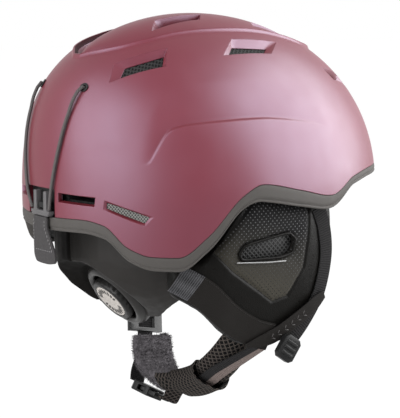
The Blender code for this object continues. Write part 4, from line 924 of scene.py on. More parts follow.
@dataclass
class Shell:
    """Painted hard shell with vents, crown channel, side creases, rear notch and cord holes."""

    wall: float = 3 * MM
    columns: int = 252
    low_rows: int = 22
    side_rows: int = 40
    crown_rows: int = 22
    vent_wall: float = 1.6 * MM
    vent_depth: float = 2.6 * MM
    vent_shares: dict = field(
        default_factory=lambda: {"rear_top": 1.0, "front_top": 1.0, "crown": 1.3, "rear_outer": 0.35})
    bare_vent_share: float = 1.1
    channel_depth: float = 4.2 * MM
    channel_crown: float = 0.15
    channel_half: tuple = ((92, 4), (82, 21), (70, 31), (50, 38), (0, 43), (-40, 41), (-70, 36), (-88, 24),
                           (-98, 6))
    channel_rows: tuple = ((3.0, 0.0), (1.6, 0.22), (0.7, 0.40), (0.0, 0.26), (-0.5, -0.35), (-1.1, -0.85),
                           (-1.9, -1.0))
    channel_rear: float = 0.8
    channel_rear_start: float = 15.0
    channel_rear_run: float = 45.0
    # Band, lowest height and front limit of the channel wall that takes the painted shade.
    groove_band: tuple = (-1.9, -0.1)
    groove_low: float = 60 * MM
    groove_front: float = -10 * MM
    crease_line: tuple = ((48, 28), (57, 51.5), (66, 54.8), (88, 57), (104, 53), (113, 48.5))
    crease_rows: tuple = ((-1.6, 0.0), (-0.7, -0.03), (0.0, -0.2), (0.6, -0.65), (1.2, -0.92), (1.9, -1.0))
    crease_depth: float = 1.9 * MM
    crease_run_out: float = 26 * MM
    crease_start: float = 0.15
    crease_rise: float = 5.0
    crease_fall: float = 2.6
    notch_half: float = 18.5 * MM
    notch_top: float = 8 * MM
    eyelet_turn: float = 19.2
    eyelet_height: float = 78 * MM
    eyelet_hole: float = 2.9 * MM
    top_vents: tuple = (
        (((-37, 85.5), (-50, 50), (-60.5, 57.5), (-43.5, 93)),
         ((-43.5, 80.5), (-53, 55), (-58.7, 60), (-46.5, 86)), 0, "rear_top"),
        (((-54, -1), (-51.5, -41.5), (-64, -28.5), (-66, 14)),
         ((-59, 1), (-58.5, -29), (-63, -23.5), (-64.8, 7.5)), 0, "front_top"),
        (((-23, 46), (-11, 36), (-11, -3), (-23, 5)),
         ((-21, 41), (-13, 34), (-13, 1), (-21, 7)), 1, "crown"),
        (((-25, -40), (-13, -44), (-12, -76), (-22, -68)),
         ((-22, -46), (-16, -48), (-15, -70), (-20, -64)), 1, ""),
    )
    side_vents: tuple = (
        (((134, 88), (136, 79), (157, 70), (155, 80)),
         ((137, 85), (139, 80), (153, 74), (152, 79)), ""),
        (((11, 6), (28, 5), (27.5, -1.5), (11, -0.5)),
         ((11.6, 5), (27.2, 4), (26.8, -0.4), (11.6, 0.4)), ""),
        (((31.5, 3.5), (49, -7), (46, -13.5), (31, -3)),
         ((32.3, 1.8), (47.6, -7.4), (45.8, -11.6), (32.2, -2.4)), "rear_outer"),
    )

    def build(self) -> Piece:
        """Models the shell and dresses it.

        Returns:
            The shell.
        """
        shell = self.skin()
        points = [v.co.copy() for v in shell.data.vertices]
        normals = [v.normal.copy() for v in shell.data.vertices]
        faces = [tuple(f.vertices) for f in shell.data.polygons]
        skin = BVHTree.FromPolygons(points, faces)
        Bench.apply(shell, "SOLIDIFY", thickness=self.wall, offset=-1)
        Bench.coat(shell, PAINT, PAINT)
        cuts, funnels = bmesh.new(), bmesh.new()
        for mouth, slot, normal, screen, hand in self.vents():
            self.loft(cuts, [self.moved(mouth, normal * k * self.wall) for k in (3, -4)])
            depth = self.vent_depth * self.vent_shares.get(screen, self.bare_vent_share)
            self.funnel(funnels, skin, mouth, slot, normal * depth)
            if screen:
                self.screen(f"vent_screen_{screen}_{hand.label}", self.grown(slot, normal), normal * depth)
        self.notch(cuts)
        self.cord_holes(cuts)
        Bench.subtract(shell, self.tool(cuts, 1))
        walls = self.tool(funnels, 1, "vent_walls")
        Bench.coat(walls, PAINT, PAINT)
        Bench.join(shell, walls)
        Bench.smooth(shell, 62)
        self.true_normals(shell, skin, points, faces, normals)
        # The channel's far wall is painted darker: painted shade.
        shell.data.materials[1] = CHANNEL_SHADE.material()
        for face in shell.data.polygons:
            face.material_index = int(self.in_groove(face))
        shell["dressed"] = 1
        return Bench.give(shell, PAINT, "outer_shell")

    def in_groove(self, face: bpy.types.MeshPolygon) -> bool:
        """Whether a face lies on the channel's wall, behind the crown, and leans toward the middle: the faces
        that take the painted shade.
        """
        if face.center.z <= self.groove_low or face.center.y <= self.groove_front:
            return False
        low, high = self.groove_band
        return low < self.channel_outside(face.center) / MM < high and face.normal.x * face.center.x < 0

    @classmethod
    def eyelet(cls, hand: Hand) -> Vector:
        """Middle of a cord's eyelet on the dome."""
        return DOME.at(hand.value * cls.eyelet_turn, cls.eyelet_height)

    def height_at(self, turn: float, test: Callable[[Vector], float]) -> float:
        """Height on one meridian where a test passes zero on the way down from the crown."""
        return -Dome.halved(lambda z: test(DOME.at(turn, -z)), -DOME.crown, -20 * MM)

    def skin(self) -> Piece:
        """Outer skin from a grid wrapped round, with rows that follow the crease and the channel's edge."""
        relief_rows = len(self.crease_rows) + len(self.channel_rows)
        rows = self.low_rows + self.side_rows + self.crown_rows + relief_rows
        bpy.ops.object.select_all(action="DESELECT")
        bpy.ops.mesh.primitive_grid_add(x_subdivisions=self.columns, y_subdivisions=rows - 1, size=2)
        item = bpy.context.active_object
        item.name = "shell_painted"
        lines = {}
        places = []
        for x, y, _ in Bench.points(item):
            column, row = round((x + 1) / 2 * self.columns), round((y + 1) / 2 * (rows - 1))
            if column not in lines:
                lines[column] = self.meridian(360 * column / self.columns - 180)
            places.append(lines[column][row])
        Bench.put(item, np.array(places))
        Bench.tidy(item, 2e-6)
        return item

    def meridian(self, turn: float) -> list[Vector]:
        """Points of one meridian from the rim to the crown, with the relief of the crease and the channel.

        Args:
            turn: Degrees round from the rear centre.

        Returns:
            The points.
        """
        rim, crease = DOME.rim(turn), eased(self.crease_line, abs(turn)) * MM
        edge = DOME.at(turn, self.height_at(turn, self.channel_outside))
        reach = math.hypot(edge.x, edge.y)
        spots = []
        start = crease + self.crease_rows[0][0] * MM
        for k in range(self.low_rows):
            spots.append((rim + (start - rim) * k / self.low_rows, 0.0))
        for rise, share in self.crease_rows:
            spots.append((crease + rise * MM, share))
        lips = []
        for out, share in self.channel_rows:
            wanted = reach + out * MM
            lips.append((self.height_at(turn, lambda p: math.hypot(p.x, p.y) - wanted), share))
        low, high = spots[-1][0], lips[0][0]
        for k in range(1, self.side_rows + 1):
            z = low + (high - low) * (1 - (1 - k / (self.side_rows + 1)) ** 1.35)
            spots.append((z, -max(0.0, 1 - (z - crease) / self.crease_run_out)))
        crease_depth = self.crease_depth * self.crease_fade(abs(turn))
        points = [self.sunk(DOME.at(turn, z), -share * crease_depth) for z, share in spots]
        for z, share in lips:
            p = DOME.at(turn, z)
            depth = -share * self.sink(p.x / MM, p.y / MM) if share < 0 else -share * self.channel_depth
            points.append(self.sunk(p, depth))
        last = lips[-1][0]
        for k in range(1, self.crown_rows + 1):
            z = last + (DOME.crown - last) * (1 - (1 - k / self.crown_rows) ** 2)
            p = DOME.at(turn, min(z, DOME.crown - 1e-7))
            points.append(self.sunk(p, self.sink(p.x / MM, p.y / MM)))
        points[-1] = Vector((0, 0, DOME.crown - self.sink(0, 0)))
        return points

    @staticmethod
    def sunk(point: Vector, depth: float) -> Vector:
        """Point moved into the dome."""
        return point - DOME.normal(point) * depth if depth else point

    def channel_outside(self, p: Vector) -> float:
        """Distance outside the channel's outline in plan, below zero inside it."""
        ends = max(p.y - self.channel_half[0][0] * MM, self.channel_half[-1][0] * MM - p.y)
        return max(abs(p.x) - eased(self.channel_half, p.y / MM) * MM, ends)

    def crease_fade(self, turn: float) -> float:
        """Share of the crease's depth at a place round the helmet."""
        first, last = self.crease_line[0][0], self.crease_line[-1][0]
        share = (turn - first) / (last - first)
        rising = max(0.0, self.crease_start + self.crease_rise * share)
        return rising if share < 0 else max(0.0, min(1.0, rising, self.crease_fall * (1 - share)))

    def funnel(self, bm: bmesh.types.BMesh, skin: BVHTree, mouth: Ring, slot: Ring, rise: Vector) -> None:
        """Adds the sloped walls of a vent, from its edge on the skin to its slot.

        Args:
            bm: Mesh that takes the walls.
            skin: The shell's outer skin.
            mouth: Corners of the edge.
            slot: Corners of the slot, in the same order.
            rise: Outward direction, as long as the vent is deep.
        """
        steps, count = 8, len(mouth)
        normal = rise.normalized()
        middle = sum(mouth, Vector()) / count
        rings = []
        for i in range(count):
            for k in range(steps):
                edge = mouth[i].lerp(mouth[(i + 1) % count], k / steps)
                top = skin.ray_cast(edge + normal * 20 * MM, -normal)[0] or edge
                foot = slot[i].lerp(slot[(i + 1) % count], k / steps) - rise
                out = (edge - middle).normalized()
                rings.append([top - normal * 0.05 * MM, foot, foot - normal * MM + out * 0.4 * MM,
                              top - normal * 2 * MM + out * MM])
        rows = [[bm.verts.new(p) for p in ring] for ring in rings]
        for a, b in zip(rows, rows[1:] + rows[:1]):
            for k in range(4):
                bm.faces.new((a[k], a[(k + 1) % 4], b[(k + 1) % 4], b[k]))

    def screen(self, node: str, slot: Ring, rise: Vector) -> Piece:
        """Net plate under a vent's slot."""
        bm = bmesh.new()
        normal = rise.normalized()
        top = self.moved(slot, -rise - normal * 0.6 * MM)
        self.loft(bm, [top, self.moved(top, -normal * 0.8 * MM)])
        return Bench.give(self.tool(bm, 0, f"{node}_net"), SCREEN if "outer" in node else DARK_SCREEN, node)

    @staticmethod
    def moved(ring: Ring, by: Vector) -> Ring:
        """Outline moved by a vector."""
        return [p + by for p in ring]

    @staticmethod
    def loft(bm: bmesh.types.BMesh, rings: Sequence[Ring]) -> None:
        """Adds a closed body over outlines, its ends fanned from their middles."""
        rows = [[bm.verts.new(p) for p in ring] for ring in rings]
        count = len(rows[0])
        for a, b in zip(rows, rows[1:]):
            for i in range(count):
                bm.faces.new((a[i], a[(i + 1) % count], b[(i + 1) % count], b[i]))
        for row in (rows[0][::-1], rows[-1]):
            middle = bm.verts.new(sum((v.co for v in row), Vector()) / count)
            for i in range(count):
                bm.faces.new((row[i], row[(i + 1) % count], middle))

    @staticmethod
    def tool(bm: bmesh.types.BMesh, finish_place: int = 0, name: str = "tool") -> Piece:
        """Body with its faces turned out and marked with a place among the finishes."""
        bmesh.ops.recalc_face_normals(bm, faces=bm.faces)
        for face in bm.faces:
            face.material_index = finish_place
        return Bench.from_mesh(name, bm)

    def grown(self, ring: Ring, normal: Vector) -> Ring:
        """Outline with each side moved outward by the vent's wall."""
        middle = sum(ring, Vector()) / len(ring)
        outs = []
        for i, p in enumerate(ring):
            side = ring[(i + 1) % len(ring)] - p
            out = side.cross(normal).normalized()
            outs.append(out if out.dot(p + side / 2 - middle) > 0 else -out)
        corners = zip(ring, outs[-1:] + outs, outs)
        return [p + (a + b) * self.vent_wall / (1 + a.dot(b)) for p, a, b in corners]

    def vents(self) -> list[tuple[Ring, Ring, Vector, str, Hand]]:
        """Mouth, slot, outward direction, screen name and side of each vent."""
        listed = []
        for hand in Hand:
            sign = -hand.value
            found = []
            for mouth, slot, sunk, screen in self.top_vents:
                rings = [[DOME.over(sign * x * MM, y * MM, self.sink(x, y) * sunk) for x, y in ring]
                         for ring in (mouth, slot)]
                found.append((rings, screen))
            for mouth, slot, screen in self.side_vents:
                rings = [[DOME.at(-sign * turn, z * MM) for turn, z in ring] for ring in (mouth, slot)]
                found.append((rings, screen))
            for (mouth, slot), screen in found:
                normal = DOME.normal(DOME.nearest(sum(slot, Vector()) / len(slot)))
                level = min(p.dot(normal) for p in slot)
                flat = [p - normal * (p.dot(normal) - level) for p in slot]
                listed.append((mouth, flat, normal, screen, hand))
        return listed

    def sink(self, x: float, y: float) -> float:
        """Depth of the channel's floor at a place in plan."""
        share = min(abs(x) / eased(self.channel_half, y), 1.0)
        behind = min(max((y - self.channel_rear_start) / self.channel_rear_run, 0.0), 1.0)
        floor = self.channel_crown + (1 - self.channel_crown) * share * share
        return self.channel_depth * floor * (1 + self.channel_rear * behind)

    def notch(self, bm: bmesh.types.BMesh) -> None:
        """Adds the block that opens the rear edge for the catch."""
        low = Vector((-self.notch_half, DOME.rear_reach - 22 * MM, DOME.rim(0) - 11 * MM))
        high = Vector((self.notch_half, DOME.rear_reach + 11 * MM, self.notch_top))
        size = Matrix.Diagonal((*(high - low), 1))
        bmesh.ops.create_cube(bm, matrix=Matrix.Translation((low + high) / 2) @ size)

    def cord_holes(self, bm: bmesh.types.BMesh) -> None:
        """Adds the rods that bore the two cord holes."""
        for hand in Hand:
            centre = self.eyelet(hand)
            turn = DOME.normal(centre).to_track_quat("Z", "Y").to_matrix().to_4x4()
            bmesh.ops.create_cone(bm, cap_ends=True, segments=32, radius1=self.eyelet_hole,
                                  radius2=self.eyelet_hole, depth=6 * self.wall,
                                  matrix=Matrix.Translation(centre) @ turn)

    @staticmethod
    def true_normals(item: Piece, skin: BVHTree, points: Sequence[Vector], faces: Sequence[tuple[int, ...]],
                     normals: Sequence[Vector]) -> None:
        """Gives the outer faces the uncut skin's directions, so that cuts leave no dents in its gloss.

        Args:
            item: The cut shell.
            skin: The uncut skin.
            points: Its points.
            faces: Its faces.
            normals: Its directions at each point.
        """
        mesh = item.data
        found = {}
        for v in mesh.vertices:
            spot, _, face, far = skin.find_nearest(v.co)
            if far < 0.05 * MM:
                share = [(1 / ((points[i] - spot).length + 1e-7), i) for i in faces[face]]
                found[v.index] = sum((normals[i] * w for w, i in share), Vector()).normalized()
        wanted = [(0.0, 0.0, 0.0)] * len(mesh.loops)
        for face in mesh.polygons:
            if face.material_index == 0 and all(i in found for i in face.vertices):
                if all(face.normal.dot(found[i]) > 0.3 for i in face.vertices):
                    for loop in face.loop_indices:
                        wanted[loop] = tuple(found[mesh.loops[loop].vertex_index])
        mesh.normals_split_custom_set(wanted)


@dataclass
class Trim:
    """Rubber band under the shell's edge with a bead along its foot and a lip turned in under the liner."""

    columns: int = 240
    gap: float = 0.3 * MM
    wall: float = 3 * MM
    lip_depth: float = 11 * MM
    lip_wall: float = 3 * MM

    def build(self) -> Piece:
        """Models the band round the rim and dresses it.

        Returns:
            The band.
        """
        rings = []
        for i in range(self.columns):
            turn = 360 * i / self.columns - 180
            rings.append([DOME.at(turn, z, inset) for z, inset in self.section(turn)])
        item = Bench.skin("rim_trim_band", rings, [0.0] * len(rings[0]), closed=True)
        Bench.smooth(item, 50)
        return Bench.give(item, TRIM, "rim_trim")

    def section(self, turn: float) -> list[tuple[float, float]]:
        """Height and inset of each point of the section.

        Args:
            turn: Degrees round from the rear centre.

        Returns:
            The closed section.
        """
        low, top = DOME.trim_low(turn), DOME.rim(turn) - self.gap
        shelf = low + self.lip_wall
        face = [(top, 0.5 * MM), (top - 0.25 * MM, 0.15 * MM), (top - 0.7 * MM, 0.0)]
        middle = [(low + 2.6 * MM + (top - low - 3.6 * MM) * (1 - k / 4),
                   -0.15 * MM * math.sin(math.pi * k / 4)) for k in range(1, 5)]
        groove = [(low + 2.2 * MM, 0.45 * MM), (low + 1.9 * MM, 0.3 * MM)]
        bead = [(low + 0.95 * MM * (1 + math.cos(math.radians(a))),
                 0.9 * MM * (1 - math.sin(math.radians(a)))) for a in (20, 45, 70, 100, 130, 155, 180)]
        deep = self.lip_depth
        lip = [(low, 3 * MM), (low, deep - MM), (low + 0.3 * MM, deep - 0.3 * MM), (low + MM, deep),
               (shelf - 0.4 * MM, deep), (shelf, deep - 0.4 * MM), (shelf, self.wall), (top, self.wall)]
        return face + middle + groove + bead + lip


@dataclass
class EarSide:
    """One ear cover with its net window, welt, straps, keeper and divider."""

    hand: Hand
    thickness: float = 11 * MM
    strap_room: float = 3.6 * MM
    trim_lip: float = 11 * MM
    bulge: tuple = ((0, 0), (12, 2), (30, 3), (55, 2), (80, -2), (110, -9))
    window: tuple = ((21, -36), (17, -30), (-21, -24), (-27, -29), (-24, -38.5), (-13, -41), (19, -40.5))
    panel: tuple = ((9, 0), (-40.5, -4), (-38.4, -26.2), (-33.8, -49.9), (-20.2, -68.5), (-7.3, -71.4),
                    (25.5, -47.9), (38.3, -34.2))
    seam_depth: float = 0.9 * MM
    seam_half: float = 1.3 * MM
    welt_radius: float = 1.1 * MM
    # Line and radius of the painted highlight bead under the window.
    bead_line: tuple = ((23.5, -41.6), (10, -42.4), (-6, -43.2), (-17, -43.4))
    bead_radius: float = 0.42 * MM
    webbing_width: float = 13 * MM
    webbing_thickness: float = 1.5 * MM
    lay: float = 1.2 * MM
    front_strap: tuple = ((-50, -9), (-55, -25), (-57, -42), (-52, -67), (-38, -90), (-29, -101))
    rear_strap: tuple = ((63, -51), (48, -61), (29, -79), (5, -93.5), (-9, -98))
    rear_width: float = 20 * MM
    keeper: tuple = ((12.5, -102), (-6, -98), (-31.5, -85), (-54, -71.5))
    keeper_width: float = 11 * MM
    keeper_taper: tuple = ((0, 0.25), (0.2, 0.75), (0.4, 1), (0.85, 1), (1, 0.6))
    patch_rings: int = 9
    line_points: int = 60
    stitch_inset: float = 1.4 * MM
    stitch: tuple = (0.25 * MM, 0.55 * MM, 0.3 * MM)
    bar_across: float = 1.5 * MM
    bar_lean: float = 50.0
    bar: tuple = (0.3 * MM, 2.0 * MM, 0.5 * MM)

    def face(self, y: float, z: float) -> float:
        """Half width of the cover's outer face at a place along the helmet and a height."""
        low = DOME.trim_low(DOME.turn_at(y, self.trim_lip))
        return DOME.side(y, low, self.trim_lip) - self.strap_room + eased(self.bulge, (low - z) / MM) * MM

    def off_face(self, y: float, z: float, off: float) -> Vector:
        """Point off the cover's outer face."""
        return Vector((self.hand.value * (self.face(y, z) + off), y, z))

    def build(self) -> None:
        """Models and dresses every piece of this side."""
        self.cover()
        Bench.carry(f"ear_mesh_{self.hand.label}", WINDOW, 0.3 * MM)
        self.welt()
        self.band("front_strap", self.front_strap, self.webbing_width, self.lay, WEBBING)
        rear = self.band("rear_strap", self.rear_strap, self.rear_width, self.lay, SMOOTH_BAND)
        Bench.coat(rear, RIBBED)
        for face in rear.data.polygons:
            face.material_index = int(face.index < self.patch_rings * BAND_RING)
        self.seam()
        # Painted highlight under the window.
        self.piping()
        over_straps = 2 * self.lay + self.webbing_thickness
        self.band("strap_keeper", self.keeper, self.keeper_width, over_straps, SMOOTH_BAND, self.keeper_taper)
        Bench.carry(f"strap_divider_{self.hand.label}", PLASTIC, 0.3 * MM)
        for place in ("front", "rear"):
            Bench.carry(f"{place}_anchor_{self.hand.label}", PLASTIC, 0.6 * MM)

    @staticmethod
    def inside(outline: Sequence[tuple[float, float]], y: float, z: float) -> bool:
        """Whether a place lies in an outline drawn along the helmet and up."""
        hit = False
        for (ay, az), (by, bz) in zip(outline, (*outline[1:], outline[0])):
            if (az > z) != (bz > z) and y < (by - ay) * (z - az) / (bz - az) + ay:
                hit = not hit
        return hit

    def cover(self) -> Piece:
        """Padded cover: swollen, seamed round its panel, and dressed in three cloths."""
        node = f"ear_pad_{self.hand.label}"
        item = Bench.copy_node(node, f"ear_cover_{self.hand.label}")
        Bench.swell(item, 3 * MM, 2.0, 1.6 * MM)
        Bench.apply(item, "SUBSURF", levels=1, render_levels=1)
        places = Bench.points(item)
        out = self.hand.value
        edges = np.array([(*a, *b) for a, b in zip(self.panel, (*self.panel[1:], self.panel[0]))]) * MM
        start, run = edges[:, :2], edges[:, 2:] - edges[:, :2]
        flat = places[:, None, 1:] - start[None]
        share = np.clip((flat * run[None]).sum(2) / (run ** 2).sum(1)[None], 0, 1)
        far = np.linalg.norm(flat - share[..., None] * run[None], axis=2).min(1)
        middle = self.face(0.0, -40 * MM) - self.thickness / 2
        outer = np.abs(places[:, 0]) > middle - 2 * MM
        places[:, 0] -= out * outer * self.seam_depth * np.exp(-(far / self.seam_half) ** 2)
        Bench.put(item, places)
        Bench.dress(item, BINDING, PANEL, LINING)
        for face in item.data.polygons:
            if face.normal.x * out < -0.3:
                face.material_index = 2
            elif self.inside(self.panel, face.center.y / MM, face.center.z / MM):
                face.material_index = 1
        Bench.smooth(item, 60)
        Bench.give(item, BINDING, node)
        return item

    def welt(self) -> Piece:
        """Piping round the window."""
        outline = [self.off_face(y * MM, z * MM, -0.6 * MM) for y, z in self.window]
        line = []
        for p, q in zip(outline, outline[1:] + outline[:1]):
            line += [p.lerp(q, t) for t in (0.12, 0.37, 0.63, 0.88)]
        item = Bench.tube(f"window_welt_{self.hand.label}", line, self.welt_radius, 10, 0.7 * MM, closed=True)
        return Bench.give(item, BINDING, body="helmet")

    def spot(self, at: Vector, off: float, turn: float, size: Sequence[float]) -> Matrix:
        """Place of a mark on the side, with its turn in degrees and its half sizes."""
        place = Matrix.Translation(self.off_face(*at, off)) @ Matrix.Rotation(math.radians(turn), 4, "X")
        return place @ Matrix.Diagonal((*size, 1))

    @staticmethod
    def beside(line: Sequence[Vector], k: int, across: float) -> tuple[Vector, float]:
        """Point beside a band's middle line, and the band's turn there in degrees."""
        along = (line[k + 1] - line[k]).normalized()
        return line[k] + Vector((-along.y, along.x)) * across, math.degrees(math.atan2(along.y, along.x))

    def seam(self) -> Piece:
        """Stitches along the rear band's upper edge, and raised bars on the keeper."""
        label = self.hand.label
        rise = self.lay + self.webbing_thickness
        line = smooth_path(self.rear_strap, self.line_points)
        stitches = []
        for k in range(10, self.line_points - 1):
            at, turn = self.beside(line, k, self.stitch_inset - self.rear_width / 2)
            stitches.append(self.spot(at, rise, turn, self.stitch))
        Bench.studs(f"band_seam_{label}", stitches, DARK_THREAD, "helmet")
        line = smooth_path(self.keeper, self.line_points)
        bars = []
        for k in range(22, 46, 4):
            for sign in (-1, 1):
                at, turn = self.beside(line, k, sign * self.bar_across)
                bars.append(self.spot(at, 2 * rise, turn + 90 - sign * self.bar_lean, self.bar))
        return Bench.studs(f"keeper_bars_{label}", bars, MARKS, "helmet")

    def piping(self) -> Piece:
        """Light bead under the window: a painted highlight along the welt's lower side."""
        rings = []
        for y, z in smooth_path(self.bead_line, 24):
            middle = self.off_face(y, z, 0.9 * MM)
            rings.append([middle + Vector((math.cos(a), 0, math.sin(a))) * self.bead_radius
                          for a in circle(8)])
        item = Bench.skin(f"window_piping_{self.hand.label}", rings, [0.5 * MM * j for j in range(9)])
        Bench.smooth(item, 60)
        return Bench.give(item, HIGHLIGHT_BEAD, body="helmet")

    def band(self, name: str, line: Sequence[tuple[float, float]], width: float, offset: float,
             finish: Finish, taper: Sequence[tuple[float, float]] = ((0, 1), (1, 1))) -> Piece:
        """Band that lies on the cover.

        Args:
            name: First part of its node's name.
            line: Its middle line, along the helmet and up, in millimetres.
            width: Its width.
            offset: How far it lies off the cover.
            finish: Its cloth.
            taper: Share of the width at shares of the length.

        Returns:
            The band.
        """
        count = 48
        path = smooth_path(line, count)
        rings = []
        places = spread(BAND_FACETS)
        for i, spot in enumerate(path):
            along = heading(path, i)
            wide = Vector((-along.y, along.x)).normalized() * width / 2 * eased(taper, i / (count - 1))
            outer, inner = [], []
            for a in places:
                y, z = spot + wide * a
                x = self.face(y, z) + offset
                thick = self.webbing_thickness * (SELVEDGE if abs(a) == 1 else 1.0)
                middle = x + self.webbing_thickness / 2
                outer.append(Vector(((middle + thick / 2) * self.hand.value, y, z)))
                inner.append(Vector(((middle - thick / 2) * self.hand.value, y, z)))
            rings.append(outer + inner[::-1])
        chart = [a * width / 2 for a in places]
        item = Bench.skin(f"{name}_{self.hand.label}_woven", rings, chart + chart[::-1])
        Bench.smooth(item, 50)
        return Bench.give(item, finish, f"{name}_{self.hand.label}")


@dataclass
class Liner:
    """Foam liner and comfort pads."""

    def build(self) -> None:
        """Carries the foam over and swells the pads."""
        Bench.carry("foam_liner", FOAM, 0.0, 40)
        for node in ("crown_pad", "brow_pad"):
            item = Bench.copy_node(node, f"{node}_cover")
            Bench.swell(item, 3.5 * MM, 1.5, 1.2 * MM)
            Bench.smooth(item, 60)
            Bench.give(item, LINING, node)


@dataclass
class FitSystem:
    """Nape cradle, fit dial, racks and headband arms."""

    pivot: tuple = (0.0, 67.5, -79.0)
    tilt: float = 38.0
    seat: tuple = ((0, -8.4), (29.5, -8.4), (33.5, -6.8), (40, -1.5), (48, 6), (56, 20))
    cup: tuple = ((0, -5.2), (60, -5.2))
    collar: tuple = ((20.8, -12), (20.8, -5.4), (21.3, -4.2), (22.6, -3.3), (24.2, -3.2), (25.8, -4.0),
                     (27.2, -5.8), (28.2, -8.6), (28, -12.5))
    crest_at: float = -4.5
    crest_rise: float = 1.6
    crest_half: float = 3.5
    lobe: float = 4.0
    lobe_start: float = 5.0
    lobe_end: float = 70.0
    lobe_run_out: float = 20.0
    recess_start: float = 2.5
    rack_reach: float = 46 * MM
    rack_top: float = -8.4
    dash_starts: tuple = (20, 200)
    dash_pitch: float = 17.0
    dash_radius: float = 10.0
    dash: tuple = (2.6 * MM, 1.2 * MM, 0.25 * MM)

    def build(self) -> None:
        """Models the cradle and the collar, and carries the other solids over with eased edges."""
        self.cradle()
        self.housing()
        Bench.carry("dial_knob", KNOB, 0.25 * MM, 40, 1)
        Bench.carry("dial_cap", IVORY, 0.5 * MM, 40, 3)
        self.marks()
        Bench.carry("dial_pinion", PLASTIC)
        Bench.carry("dial_screw", STEEL, 0.2 * MM)
        for hand in Hand:
            for node in ("fit_rack", "headband_arm", "headband_pin"):
                Bench.carry(f"{node}_{hand.label}", PLASTIC, 0.2 * MM)

    @property
    def axis(self) -> Vector:
        """Direction out of the dial's face."""
        return Vector((0, math.cos(math.radians(self.tilt)), -math.sin(math.radians(self.tilt))))

    def round_dial(self, places: np.ndarray) -> tuple[np.ndarray, np.ndarray]:
        """Height along the dial's axis and distance from it, for many places."""
        axis = np.array(self.axis)
        off = places - np.array(self.pivot) * MM
        rise = off @ axis
        return rise, np.linalg.norm(off - rise[:, None] * axis, axis=1)

    def lowered(self, item: Piece, seat: Sequence[tuple[float, float]]) -> np.ndarray:
        """Places of an object's points, pressed down to a seat round the dial.

        Args:
            item: The object.
            seat: Height along the dial's axis allowed at each distance from it, in millimetres.

        Returns:
            The places.
        """
        places = Bench.points(item)
        rise, far = self.round_dial(places)
        axis = np.array(self.axis)
        facing = np.array([v.normal.dot(self.axis) for v in item.data.vertices])
        cap = np.interp(far / MM, *zip(*seat)) * MM - 1.5 * MM * (facing < -0.2)
        return places - np.maximum(rise - cap, 0)[:, None] * axis

    def cradle(self) -> Piece:
        """Cradle with a seat round the dial, a crest down its middle, and the side beyond the crest painted
        darker as painted shade.
        """
        item = Bench.copy_node("rear_cradle", "rear_cradle_moulded")
        Bench.apply(item, "REMESH", mode="VOXEL", voxel_size=1.3 * MM)
        Bench.apply(item, "SMOOTH", factor=0.5, iterations=2)
        places = self.lowered(item, self.seat)
        normals = np.array([v.normal for v in item.data.vertices])
        outer = np.clip(4 * (normals[:, 1] - 0.3 * normals[:, 2]) - 0.8, 0, 1)
        x = places[:, 0] / MM - self.crest_at
        run_out = np.clip((self.lobe_end - np.abs(x)) / self.lobe_run_out, 0, 1)
        beyond = np.clip(x / self.lobe_start, 0, 1) * run_out
        crest = self.crest_rise * np.exp(-(x / self.crest_half) ** 2)
        relief = crest + self.lobe * beyond * beyond * (3 - 2 * beyond)
        rise, far = self.round_dial(places)
        outer *= np.where(far < self.rack_reach, np.clip(rise / MM - self.rack_top, 0, 1), 1.0)
        places += normals * (relief * outer * MM)[:, None]
        Bench.put(item, places)
        Bench.apply(item, "SMOOTH", factor=0.5, iterations=3)
        # Faces beyond the crest take the darker finish: painted shade.
        Bench.dress(item, CRADLE, CRADLE_SHADE)
        for face in item.data.polygons:
            face.material_index = int(face.center.x / MM > self.crest_at + self.recess_start)
        Bench.smooth(item, 60)
        return Bench.give(item, CRADLE, "rear_cradle")

    def place(self, angle: float, radius: float, rise: float) -> Matrix:
        """Place round the dial's axis, its first direction outward and its third along the axis."""
        tilt = math.radians(self.tilt)
        out = Vector((math.cos(angle), math.sin(angle) * math.sin(tilt), math.sin(angle) * math.cos(tilt)))
        turned = Matrix((out, self.axis.cross(out), self.axis)).transposed().to_4x4()
        middle = Vector(self.pivot) * MM + out * radius * MM + self.axis * rise * MM
        return Matrix.Translation(middle) @ turned

    def housing(self) -> Piece:
        """Housing cup, cut down to let the knob stand proud, with a rounded collar."""
        item = Bench.copy_node("dial_housing", "dial_housing_moulded")
        Bench.put(item, self.lowered(item, self.cup))
        rings = [[self.place(angle, r, t).translation for r, t in self.collar] for angle in circle(72)]
        Bench.join(item, Bench.skin("collar", rings, [0.0] * len(self.collar), closed=True))
        Bench.smooth(item, 50)
        return Bench.give(item, COLLAR, "dial_housing")

    def marks(self) -> Piece:
        """Plain printed dashes round the disc."""
        places = []
        for start in self.dash_starts:
            for k in range(9):
                spot = self.place(math.radians(start + self.dash_pitch * k), self.dash_radius, 0.05)
                places.append(spot @ Matrix.Diagonal((*self.dash, 1)))
        return Bench.studs("dial_dashes", places, MARKS, "dial")


